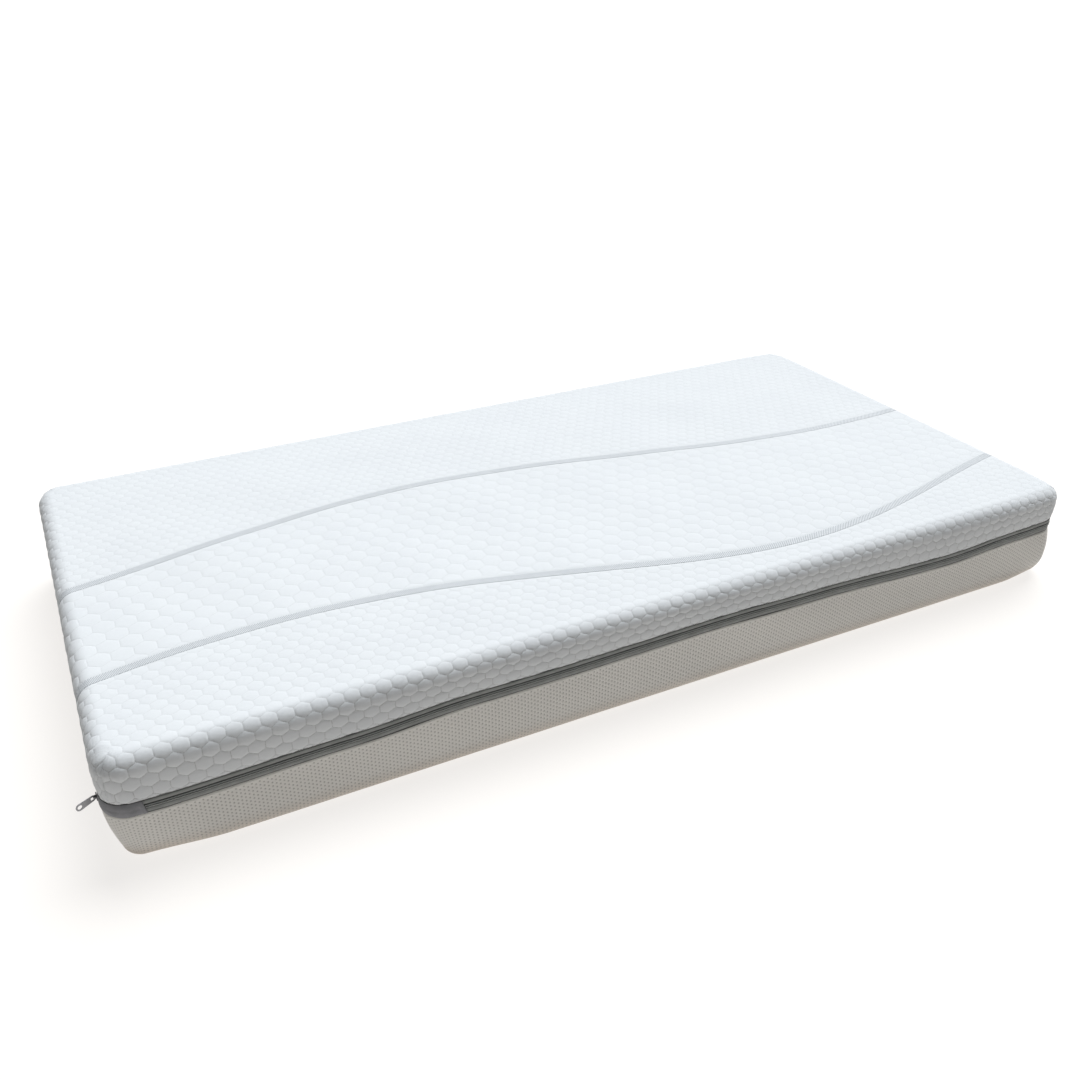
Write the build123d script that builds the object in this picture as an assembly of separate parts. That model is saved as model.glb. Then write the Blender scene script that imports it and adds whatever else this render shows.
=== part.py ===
from build123d import *
import math
import os

# Pressure relief mattress: a layered foam core in a two-part cover that zips apart all round.
# Millimetres, +Z up. The origin is the centre of the underside and +X runs towards the foot end.
# Depths on the side walls are insets: 0 is the outer face of the cover, and more is further in.

# Overall shape of the made-up mattress
overall_length = 2000.0
overall_width = 1000.0
overall_height = 211.0
corner_radius = 45.0
top_edge_radius = 28.0
bottom_edge_radius = 26.0

# Cover cloths
knit_face = 1.0
skirt_wadding = 2.9
top_wadding = 6.4
backing_cloth = 0.6
mesh_wall = 4.5
base_cloth = 2.5
base_panel_inset = 62.0
seam_gap = 0.3

# Foam core
core_gap = 0.5
base_foam_height = 50.0
relief_height = 60.0
bolster_width = 100.0
heel_length = 400.0
cell_depth = 38.0
cell_cut = 4.0
cell_pitch = 84.0
heel_cell_pitch = 52.0
cell_margin = 60.0

# Zip, with its centre line at one height all round
zip_height = 117.0
zip_opening = 26.0
tape_width = 18.5
tape_thickness = 0.7
tape_inset = 1.5
tape_parting = 2.0
pocket_clearance = 0.5
coil_width = 2.5
coil_height = 2.3
coil_parting = 1.2
chain_start = 58.0
stop_length = 2.5
stop_overhang = 0.4

# End tab, folded over both ends of the zip round the corner
tab_cloth = 0.8
tab_clearance = 0.2
tab_edge_gap = 0.5
tab_fold = 6.0

# Slider, with its crown, and its pull tab
slider_length = 13.0
slider_width = 10.5
slider_corner = 3.1
plate_thickness = 1.4
slider_clearance = 0.35
web_thickness = 0.6
web_length = 4.0
crown_width = 3.0
crown_bore = 1.6
crown_wire = 1.5
pull_thickness = 1.3
pull_reach = 25.5
pull_tip_radius = 6.2
pull_hole_radius = 3.8
pull_neck_radius = 5.0
pull_bar = 1.0
pull_slot_length = 6.2
pull_slot_width = 5.6
pull_swing = 24.0
pull_droop = 6.0

# Levels and insets that follow from the sizes above
half_length = overall_length / 2
half_width = overall_width / 2
skirt_hem = zip_height + zip_opening / 2
lower_rim = zip_height - zip_opening / 2
skirt_wall = knit_face + skirt_wadding + backing_cloth
top_wall = knit_face + top_wadding + backing_cloth
core_inset = max(skirt_wall, mesh_wall) + core_gap
core_low = base_cloth + core_gap
core_high = overall_height - top_wall - core_gap
base_top = core_low + base_foam_height
relief_low = core_high - relief_height
heel_line = half_length - core_inset - heel_length
bolster_line = half_width - core_inset - bolster_width
tape_tuck = tape_width - zip_opening / 2
pocket_depth = tape_tuck + pocket_clearance
tape_back = tape_inset + tape_thickness
coil_face = tape_inset - coil_height
chain_end = corner_radius + stop_length
plate_back = coil_face - slider_clearance
plate_face = plate_back - plate_thickness
inner_plate_face = tape_back + slider_clearance
slider_y = -half_width + chain_end + slider_clearance + slider_length / 2
pull_axis_inset = plate_face - crown_bore


def rounded_block(inset, low, high, low_radius=0.0, high_radius=0.0):
    """A block that follows the mattress's outline, moved in by inset, from one level to another."""
    outline = RectangleRounded(
        overall_length - 2 * inset, overall_width - 2 * inset, corner_radius - inset
    )
    block = extrude(Pos(0, 0, low) * outline, amount=high - low)
    if high_radius > 0:
        block = fillet(block.edges().group_by(Axis.Z)[-1], high_radius)
    if low_radius > 0:
        block = fillet(block.edges().group_by(Axis.Z)[0], low_radius)
    return block


def wall_ring(inset, thickness, low, high):
    """A strip of cloth that stands all round the side walls."""
    outer = rounded_block(inset, low, high)
    inner = rounded_block(inset + thickness, low - 1, high + 1)
    return outer - inner


def span_box(low_corner, high_corner):
    """A box between two opposite corners."""
    sizes = [high - low for low, high in zip(low_corner, high_corner)]
    centre = [(high + low) / 2 for low, high in zip(low_corner, high_corner)]
    return Pos(*centre) * Box(*sizes)


def corner_zone(front_reach, end_reach, low, high):
    """The space round the front corner of the zip end, from outside the walls."""
    outside = coil_height + 10
    inside = corner_radius
    front = span_box(
        (-half_length - outside, -half_width - outside, low),
        (-half_length + front_reach, -half_width + inside, high),
    )
    end = span_box(
        (-half_length - outside, -half_width - outside, low),
        (-half_length + inside, -half_width + end_reach, high),
    )
    return front + end


def top_layer(outer_side, outer_top, inner_side, inner_top, hem):
    """One cloth of the top cover: a shallow open box, upside down, with rounded edges."""
    outer = rounded_block(
        outer_side,
        hem,
        overall_height - outer_top,
        high_radius=top_edge_radius - outer_side,
    )
    inner = rounded_block(
        inner_side,
        hem - 1,
        overall_height - inner_top,
        high_radius=top_edge_radius - inner_side,
    )
    return outer - inner


def cover_knit():
    return top_layer(0, 0, knit_face, knit_face, skirt_hem)


def cover_wadding():
    side = knit_face + skirt_wadding
    top = knit_face + top_wadding
    return top_layer(knit_face, knit_face, side, top, skirt_hem + pocket_depth)


def cover_backing():
    side = knit_face + skirt_wadding
    top = knit_face + top_wadding
    return top_layer(side, top, skirt_wall, top_wall, skirt_hem)


def lower_cover_mesh():
    outer = rounded_block(0, 0, lower_rim, low_radius=bottom_edge_radius)
    inner = rounded_block(
        mesh_wall,
        base_cloth,
        lower_rim + 1,
        low_radius=bottom_edge_radius - mesh_wall,
    )
    opening = base_panel_shape(0, -1, base_cloth + 1)
    pocket_inset = tape_inset - pocket_clearance
    pocket_width = tape_thickness + 2 * pocket_clearance
    pocket = wall_ring(pocket_inset, pocket_width, lower_rim - pocket_depth, lower_rim + 1)
    return outer - inner - opening - pocket


def base_panel_shape(gap, low, high):
    """The underside panel's outline, made smaller by gap, between two levels."""
    outline = RectangleRounded(
        overall_length - 2 * (base_panel_inset + gap),
        overall_width - 2 * (base_panel_inset + gap),
        corner_radius,
    )
    return extrude(Pos(0, 0, low) * outline, amount=high - low)


def underside_panel():
    return base_panel_shape(seam_gap, 0, base_cloth)


def zip_tape(side):
    """A zip tape: side is 1 for the upper one and -1 for the lower one."""
    inner_edge = zip_height + side * tape_parting / 2
    outer_edge = zip_height + side * tape_width
    return wall_ring(
        tape_inset, tape_thickness, min(inner_edge, outer_edge), max(inner_edge, outer_edge)
    )


def coil_levels(side, margin=0.0):
    """The lowest and highest level of a coil row, made wider by margin at its outer edge."""
    near = zip_height + side * coil_parting / 2
    far = zip_height + side * (coil_parting / 2 + coil_width + margin)
    return min(near, far), max(near, far)


def zip_coil(side):
    """A row of the coil, which stops short of the end tab's corner at both ends."""
    low, high = coil_levels(side)
    row = wall_ring(coil_face, coil_height, low, high)
    return row - corner_zone(chain_start, chain_end, low - 1, high + 1)


def zip_stop(side):
    """The stop clamped on the tape at the closed end of a coil row."""
    low, high = coil_levels(side, stop_overhang)
    return span_box(
        (-half_length + coil_face, -half_width + corner_radius, low),
        (-half_length + tape_inset, -half_width + chain_end, high),
    )


def zip_end_tab():
    low = lower_rim + tab_edge_gap
    high = skirt_hem - tab_edge_gap
    back = tape_inset - tab_clearance
    strip = wall_ring(back - tab_cloth, tab_cloth, low, high)
    fold = wall_ring(back - 2 * tab_cloth, tab_cloth, low, high)
    reach = corner_zone(chain_start - seam_gap, corner_radius - seam_gap, low - 1, high + 1)
    fold_reach = span_box(
        (-half_length + chain_start - tab_fold, -half_width - coil_height, low - 1),
        (-half_length + chain_start - seam_gap, -half_width + corner_radius, high + 1),
    )
    return (strip & reach) + (fold & fold_reach)


def core_block():
    """The whole foam core, before it is divided into its layers."""
    return rounded_block(
        core_inset,
        core_low,
        core_high,
        bottom_edge_radius - core_inset,
        top_edge_radius - core_inset,
    )


def core_slab(low, high, x_low=-half_length, x_high=half_length, y_low=-half_width, y_high=half_width):
    """The part of the foam core between six planes."""
    return core_block() & span_box((x_low, y_low, low), (x_high, y_high, high))


def cell_cuts(x_low, x_high, pitch):
    """Straight cuts both ways that divide a relief layer's top into cells inside its margin."""
    y_reach = half_width - core_inset - cell_margin
    rows = round(2 * y_reach / pitch)
    columns = round((x_high - x_low) / pitch)
    low = core_high - cell_depth
    high = core_high + 1
    half_cut = cell_cut / 2
    cuts = []
    for row in range(rows + 1):
        y = -y_reach + 2 * y_reach * row / rows
        cuts.append(span_box((x_low, y - half_cut, low), (x_high, y + half_cut, high)))
    for column in range(columns + 1):
        x = x_low + (x_high - x_low) * column / columns
        cuts.append(span_box((x - half_cut, -y_reach, low), (x + half_cut, y_reach, high)))
    return cuts


def base_foam():
    return core_slab(core_low, base_top)


def front_bolster():
    return core_slab(base_top, relief_low, y_high=-bolster_line)


def rear_bolster():
    return core_slab(base_top, relief_low, y_low=bolster_line)


def support_core():
    return core_slab(base_top, relief_low, y_low=-bolster_line, y_high=bolster_line)


def pressure_layer():
    layer = core_slab(relief_low, core_high, x_high=heel_line)
    head_margin = -half_length + core_inset + cell_margin
    return layer - cell_cuts(head_margin, heel_line - cell_margin / 2, cell_pitch)


def heel_insert():
    layer = core_slab(relief_low, core_high, x_low=heel_line)
    foot_margin = half_length - core_inset - cell_margin
    return layer - cell_cuts(heel_line + cell_margin / 2, foot_margin, heel_cell_pitch)


def slider_plate(face, thickness, length, width):
    """A flat plate of the slider, parallel to the end wall, with its outer face at an inset."""
    plane = Plane(
        origin=(-half_length + face, slider_y, zip_height), x_dir=(0, 1, 0), z_dir=(1, 0, 0)
    )
    outline = RectangleRounded(length, width, slider_corner)
    return extrude(plane * outline, amount=thickness)


def zip_slider():
    """Slider body: two plates joined by a web between the coil rows, and a lip under the lower row.
    It has no lip over the upper row, so that the top cover can lift straight off it."""
    outer = slider_plate(plate_face, plate_thickness, slider_length, slider_width)
    inner = slider_plate(inner_plate_face, plate_thickness, slider_length, slider_width)
    web_y = slider_y - slider_length / 2 + slider_clearance
    web = span_box(
        (-half_length + plate_back, web_y, zip_height - web_thickness / 2),
        (-half_length + inner_plate_face, web_y + web_length, zip_height + web_thickness / 2),
    )
    lip_top = coil_levels(-1)[0] - slider_clearance
    lip_reach = slider_length / 2 - slider_corner
    lip = span_box(
        (-half_length + plate_back, slider_y - lip_reach, zip_height - slider_width / 2),
        (-half_length + tape_inset - slider_clearance, slider_y + lip_reach, lip_top),
    )
    return outer + inner + web + lip


def slider_crown():
    """The arch on the slider that the pull tab's bar lies under."""
    plane = Plane(
        origin=(-half_length + pull_axis_inset, slider_y, zip_height - crown_width / 2),
        x_dir=(0, 1, 0),
        z_dir=(0, 0, 1),
    )
    outer_radius = crown_bore + crown_wire
    ring = Circle(outer_radius) - Circle(crown_bore)
    arch = ring & Pos(0, outer_radius / 2) * Rectangle(2 * outer_radius, outer_radius)
    foot_place = crown_bore + crown_wire / 2
    foot_height = plate_face - pull_axis_inset
    feet = [
        Pos(side * foot_place, -foot_height / 2) * Rectangle(crown_wire, foot_height)
        for side in (-1, 1)
    ]
    return extrude(plane * (arch + feet), amount=crown_width)


def pull_tab():
    """Flat pull tab, swung out from the end wall and hanging a little at its tip."""
    swing = math.radians(pull_swing)
    plane = Plane(
        origin=(-half_length + pull_axis_inset, slider_y, zip_height),
        x_dir=(-math.cos(swing), -math.sin(swing), 0),
        z_dir=(math.sin(swing), -math.cos(swing), 0),
    )
    neck_place = pull_neck_radius - pull_bar
    neck = Pos(neck_place, 0) * Circle(pull_neck_radius)
    tip = Pos(pull_reach, 0) * Circle(pull_tip_radius)
    outline = make_hull(neck.edges() + tip.edges())
    hole = Pos(pull_reach, 0) * Circle(pull_hole_radius)
    slot_place = pull_bar + pull_slot_length / 2
    slot = Pos(slot_place, 0) * RectangleRounded(pull_slot_length, pull_slot_width, pull_bar)
    flat = Rot(0, 0, pull_droop) * (outline - hole - slot)
    return extrude(plane * flat, amount=pull_thickness / 2, both=True)


pieces = {
    "base_foam": base_foam(),
    "front_bolster": front_bolster(),
    "rear_bolster": rear_bolster(),
    "support_core": support_core(),
    "pressure_layer": pressure_layer(),
    "heel_insert": heel_insert(),
    "lower_cover_mesh": lower_cover_mesh(),
    "underside_panel": underside_panel(),
    "lower_zip_tape": zip_tape(-1),
    "lower_zip_coil": zip_coil(-1),
    "lower_zip_stop": zip_stop(-1),
    "zip_end_tab": zip_end_tab(),
    "cover_knit": cover_knit(),
    "cover_wadding": cover_wadding(),
    "cover_backing": cover_backing(),
    "upper_zip_tape": zip_tape(1),
    "upper_zip_coil": zip_coil(1),
    "upper_zip_stop": zip_stop(1),
    "zip_slider": zip_slider(),
    "slider_crown": slider_crown(),
    "pull_tab": pull_tab(),
}

os.makedirs("parts", exist_ok=True)
for name, piece in pieces.items():
    export_step(piece, os.path.join("parts", name + ".step"))
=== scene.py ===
import logging
import math
from dataclasses import dataclass
from enum import Enum

import bpy
import numpy as np
from mathutils import Matrix, Vector


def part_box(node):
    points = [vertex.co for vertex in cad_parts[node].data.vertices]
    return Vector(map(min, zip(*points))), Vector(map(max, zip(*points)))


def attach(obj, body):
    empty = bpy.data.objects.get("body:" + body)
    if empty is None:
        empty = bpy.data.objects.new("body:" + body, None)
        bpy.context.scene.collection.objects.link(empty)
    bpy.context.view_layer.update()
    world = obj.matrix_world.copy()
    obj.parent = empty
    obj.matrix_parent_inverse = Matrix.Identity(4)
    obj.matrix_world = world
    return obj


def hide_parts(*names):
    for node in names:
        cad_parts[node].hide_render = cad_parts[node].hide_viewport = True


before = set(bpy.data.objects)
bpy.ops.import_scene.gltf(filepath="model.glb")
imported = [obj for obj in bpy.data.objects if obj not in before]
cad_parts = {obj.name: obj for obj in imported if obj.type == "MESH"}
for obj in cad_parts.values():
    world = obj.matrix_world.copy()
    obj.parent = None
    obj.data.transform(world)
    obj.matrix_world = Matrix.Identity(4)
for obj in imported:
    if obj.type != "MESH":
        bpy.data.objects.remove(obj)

TURN = 2 * math.pi
RIGHT_ANGLE = TURN / 4
EIGHTH_TURN = TURN / 8
WHITE_LEVEL = 255  # the brightest level of a screen colour
FAR = 1.0  # past the reach of any seam, band or hem
ELSEWHERE = 3.0  # a shift to another stretch of the same unevenness
TINY = 1e-9  # keeps a ratio from being nought over nought
LEAST_AREA = 1e-11  # a face under twice this has no area
SNAP = 1e-5  # places closer than this are the same
KEY_SPAN = 1000003  # more than the points across a lattice, so that each point's key is its own

Array = np.ndarray
Colour = tuple[float, float, float, float]
Socket = bpy.types.NodeSocket

log = logging.getLogger("mattress")


class Body(Enum):
    """The moving bodies that a piece can ride on."""

    MATTRESS = "mattress"
    TOP_COVER = "top_cover"


class Row(Enum):
    """Which half of the zip a strip belongs to."""

    UPPER = 1
    LOWER = -1

    @property
    def word(self) -> str:
        """The row's name, as its pieces have it."""
        return self.name.lower()

    @property
    def body(self) -> Body:
        """The body that the row is sewn to."""
        return Body.TOP_COVER if self is Row.UPPER else Body.MATTRESS


def eased(share: Array) -> Array:
    """A smooth step of a share that is held between 0 and 1."""
    held = np.clip(share, 0.0, 1.0)
    return held * held * (3.0 - 2.0 * held)


def rounded_rise(distance: Array, reach: float | Array) -> Array:
    """A quarter-round rise from 0 at an edge to 1 at reach from it.

    Args:
        distance: How far each point is from the edge, in metres.
        reach: How far the rise takes.

    Returns:
        The height of the rise at each point, from 0 to 1.
    """
    share = 1.0 - np.clip(distance / reach, 0.0, 1.0)
    return np.sqrt(np.maximum(1.0 - share * share, 0.0))


def joined(*parts: Array) -> Array:
    """Coordinates put side by side, one set for each point."""
    return np.stack(np.broadcast_arrays(*parts), axis=-1)


@dataclass(frozen=True)
class Undulation:
    """Gentle unevenness of soft goods: a few waves whose directions come from a seed."""

    size: float
    length: float
    seed: int
    waves: int = 7
    shortest: float = 0.7
    longest: float = 1.5

    def at(self, x: Array, y: Array) -> Array:
        """The unevenness at each point.

        Args:
            x: First coordinate, in metres.
            y: Second coordinate, in metres.

        Returns:
            A height at each point, mostly within the size.
        """
        draw = np.random.default_rng(self.seed)
        total = np.zeros(np.broadcast(x, y).shape)
        for _ in range(self.waves):
            heading = draw.uniform(0.0, TURN)
            length = self.length * draw.uniform(self.shortest, self.longest)
            phase = draw.uniform(0.0, TURN)
            along = x * math.cos(heading) + y * math.sin(heading)
            total += np.sin(TURN * along / length + phase)
        return self.size * total / math.sqrt(self.waves)


@dataclass(frozen=True)
class Outline:
    """The mattress's outer sizes and the path round its side walls.

    Distances along the path run from the middle of the zip end, round by the front.
    """

    half_length: float
    half_width: float
    top: float
    hem: float
    rim: float
    zip_height: float
    corner_radius: float = 0.045
    edge_radius: float = 0.028
    corner_slack: float = 0.005
    slack_reach: float = 0.14
    head_slack_reach: float = 0.048

    @classmethod
    def from_frame(cls) -> "Outline":
        """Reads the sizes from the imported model.

        Returns:
            The outline that every piece is built round.
        """
        knit_low, knit_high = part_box("cover_knit")
        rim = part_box("lower_cover_mesh")[1].z
        slider_low, slider_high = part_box("zip_slider")
        height = (slider_low.z + slider_high.z) / 2
        return cls(knit_high.x, knit_high.y, knit_high.z, knit_low.z, rim, height)

    @property
    def arc_x(self) -> float:
        """Where the corner arcs are centred along the length."""
        return self.half_length - self.corner_radius

    @property
    def arc_y(self) -> float:
        """Where the corner arcs are centred across the width."""
        return self.half_width - self.corner_radius

    @property
    def corner_length(self) -> float:
        """The length of the path round one corner."""
        return self.corner_radius * RIGHT_ANGLE

    @property
    def quarter(self) -> float:
        """The path's length from the middle of an end to the middle of a side."""
        return self.arc_x + self.arc_y + self.corner_length

    def along(self, x: Array, y: Array) -> Array:
        """How far along the path each point near the walls is.

        Args:
            x: Place along the length.
            y: Place across the width.

        Returns:
            The distance along the path.
        """
        reach_x, reach_y = np.abs(x), np.abs(y)
        over_x, over_y = reach_x - self.arc_x, reach_y - self.arc_y
        turn = np.arctan2(np.maximum(over_y, 0.0), np.maximum(over_x, TINY))
        on_end = over_y <= 0.0
        share = np.where(on_end & (over_x >= over_y), reach_y, self.arc_y + self.corner_radius * turn)
        on_side = (over_x <= 0.0) & (over_y > over_x)
        side = self.quarter - reach_x
        share = np.where(on_side, side, share)
        front = np.where(x < 0, share, 2 * self.quarter - share)
        rear = np.where(x < 0, 4 * self.quarter - share, 2 * self.quarter + share)
        return np.where(y < 0, front, rear)

    def softened(self, x: Array, y: Array) -> tuple[Array, Array]:
        """Draws the plan in a little at the corners, but not where the slider runs.

        Args:
            x: Place along the length.
            y: Place across the width.

        Returns:
            The place, moved in where a corner is near.
        """
        to_corner = np.hypot(self.half_length - np.abs(x), self.half_width - np.abs(y))
        loose = (x > 0) | (y > 0)
        reach = np.where(x > 0, self.slack_reach, self.head_slack_reach)
        pull = self.corner_slack * eased(1 - to_corner / reach) * loose
        return x - np.sign(x) * pull, y - np.sign(y) * pull

    def at(
        self, distance: Array, inset: Array, least_radius: float = 0.016
    ) -> tuple[Array, Array, Array, Array]:
        """Points of the wall's plan, and the way they face.

        Args:
            distance: How far along the path each point is.
            inset: How far inside the outline it is.
            least_radius: The corner radius that is kept however deep the inset is.

        Returns:
            The x and y of each point, and the x and y of its outward direction.
        """
        distance, inset = np.broadcast_arrays(distance, inset)
        quarter = self.quarter
        whole = np.mod(distance, 4 * quarter)
        block = np.floor(whole / quarter).astype(int) % 4
        share = np.where(block % 2 == 0, whole - block * quarter, (block + 1) * quarter - whole)
        radius = np.maximum(self.corner_radius - inset, least_radius)
        centre_x = self.half_length - inset - radius
        centre_y = self.half_width - inset - radius
        turn = np.clip((share - self.arc_y) / self.corner_radius, 0.0, RIGHT_ANGLE)
        out_x, out_y = np.cos(turn), np.sin(turn)
        left_over = np.clip(quarter - share, 0.0, self.arc_x) / self.arc_x
        end_part = np.clip(share, 0.0, self.arc_y) / self.arc_y
        x = centre_x * left_over + radius * out_x
        y = centre_y * end_part + radius * out_y
        sign_x = np.where((block == 0) | (block == 3), -1.0, 1.0)
        sign_y = np.where(block < 2, -1.0, 1.0)
        x, y = self.softened(x * sign_x, y * sign_y)
        return x, y, out_x * sign_x, out_y * sign_y

    def corner_share(self, distance: Array, fade: float = 0.09) -> Array:
        """1 at the middle of a corner, easing to 0 along the straight walls.

        Args:
            distance: How far along the path each point is.
            fade: How far the ease takes.

        Returns:
            The share at each point.
        """
        middle = self.arc_y + self.corner_length / 2
        whole = np.mod(distance, 2 * self.quarter)
        nearest = np.minimum(np.abs(whole - middle), np.abs(2 * self.quarter - whole - middle))
        return 1.0 - eased(nearest / (fade + self.corner_length / 2))

    def by_zip(self, distance: Array) -> Array:
        """True near the corner where the zip is closed."""
        return np.mod(distance, 4 * self.quarter) < self.quarter


@dataclass(frozen=True)
class ZipLine:
    """The zip's slow rise and fall round the walls, as the covers pull it about.

    Each knot is a distance along the path and the zip's height there over its own level.
    It stays level along the zip end, where the slider runs.
    """

    knots: tuple[tuple[float, float], ...] = (
        (0.50, 0.0),
        (0.58, -0.0012),
        (0.86, 0.0045),
        (1.07, 0.0140),
        (1.20, 0.0132),
        (1.60, 0.0188),
        (1.80, 0.0149),
        (2.155, 0.0024),
        (2.35, 0.0110),
        (3.40, 0.008),
        (4.10, 0.002),
        (4.90, 0.007),
        (5.42, 0.0),
    )

    def rise(self, distance: Array) -> Array:
        """The zip's height over its own level at distances along the path.

        Args:
            distance: How far along the path each point is.

        Returns:
            The rise there, in metres.
        """
        places = np.array([knot[0] for knot in self.knots])
        heights = np.array([knot[1] for knot in self.knots])
        span = np.clip(np.searchsorted(places, distance, side="right") - 1, 0, len(places) - 2)
        share = eased((distance - places[span]) / (places[span + 1] - places[span]))
        return heights[span] + share * (heights[span + 1] - heights[span])


@dataclass
class Shape:
    """Points and faces that become a piece, with its cloth coordinates and marks."""

    points: Array
    faces: Array
    cloth: Array
    marks: dict[str, Array]
    outward: Array | None = None

    def __post_init__(self) -> None:
        """Lays grids of points out as one long row."""
        self.points = self.points.reshape(-1, 3)
        self.cloth = self.cloth.reshape(-1, 2)
        self.marks = {name: values.ravel() for name, values in self.marks.items()}
        if self.outward is not None:
            self.outward = self.outward.reshape(-1, 3)

    def trimmed(self) -> "Shape":
        """The same shape without faces of no area and points that no face uses.

        Returns:
            A shape that is fit to be a mesh.
        """
        corners = self.points[self.faces]
        spread_a = corners[:, 2] - corners[:, 0]
        spread_b = corners[:, -1] - corners[:, 1]
        normal = np.cross(corners[:, 1] - corners[:, 0], spread_a)
        if self.faces.shape[1] == 4:
            normal = np.cross(spread_a, spread_b)
        wide = np.linalg.norm(normal, axis=1) > LEAST_AREA
        kept, normal = self.faces[wide], normal[wide]
        if self.outward is not None:
            facing = np.einsum("ij,ij->i", normal, self.outward[kept[:, 0]])
            if facing.sum() < 0:
                kept = kept[:, ::-1]
        used, renumbered = np.unique(kept, return_inverse=True)
        marks = {name: values[used] for name, values in self.marks.items()}
        faces = renumbered.reshape(kept.shape)
        return Shape(self.points[used], faces, self.cloth[used], marks)

    def build(self, name: str) -> bpy.types.Object:
        """Makes the mesh and its object.

        Args:
            name: The piece's name.

        Returns:
            The new object, smooth shaded, with a cloth map in metres.
        """
        shape = self.trimmed()
        corners = shape.faces.shape[1]
        mesh = bpy.data.meshes.new(name)
        mesh.vertices.add(len(shape.points))
        mesh.vertices.foreach_set("co", shape.points.astype(np.float32).ravel())
        mesh.loops.add(shape.faces.size)
        mesh.loops.foreach_set("vertex_index", shape.faces.astype(np.int32).ravel())
        mesh.polygons.add(len(shape.faces))
        starts = np.arange(len(shape.faces), dtype=np.int32) * corners
        mesh.polygons.foreach_set("loop_start", starts)
        mesh.polygons.foreach_set("use_smooth", np.ones(len(shape.faces), bool))
        mesh.update(calc_edges=True)
        layer = mesh.uv_layers.new(name="Cloth")
        layer.data.foreach_set("uv", shape.cloth[shape.faces].astype(np.float32).ravel())
        for mark, values in shape.marks.items():
            attribute = mesh.attributes.new(mark, "FLOAT", "POINT")
            attribute.data.foreach_set("value", values.astype(np.float32))
        mesh.validate()
        piece = bpy.data.objects.new(name, mesh)
        bpy.context.scene.collection.objects.link(piece)
        return piece


def grid_faces(rows: int, columns: int, closed: bool = False) -> Array:
    """The four-sided faces of a grid of points.

    Args:
        rows: How many rows of points there are.
        columns: How many points a row has.
        closed: Whether the last row joins the first.

    Returns:
        The numbers of each face's corners.
    """
    count = rows if closed else rows - 1
    first, second = np.meshgrid(np.arange(count), np.arange(columns - 1), indexing="ij")
    after = (first + 1) % rows
    here = first * columns + second
    there = after * columns + second
    return np.stack([here, there, there + 1, here + 1], axis=-1).reshape(-1, 4)


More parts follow.
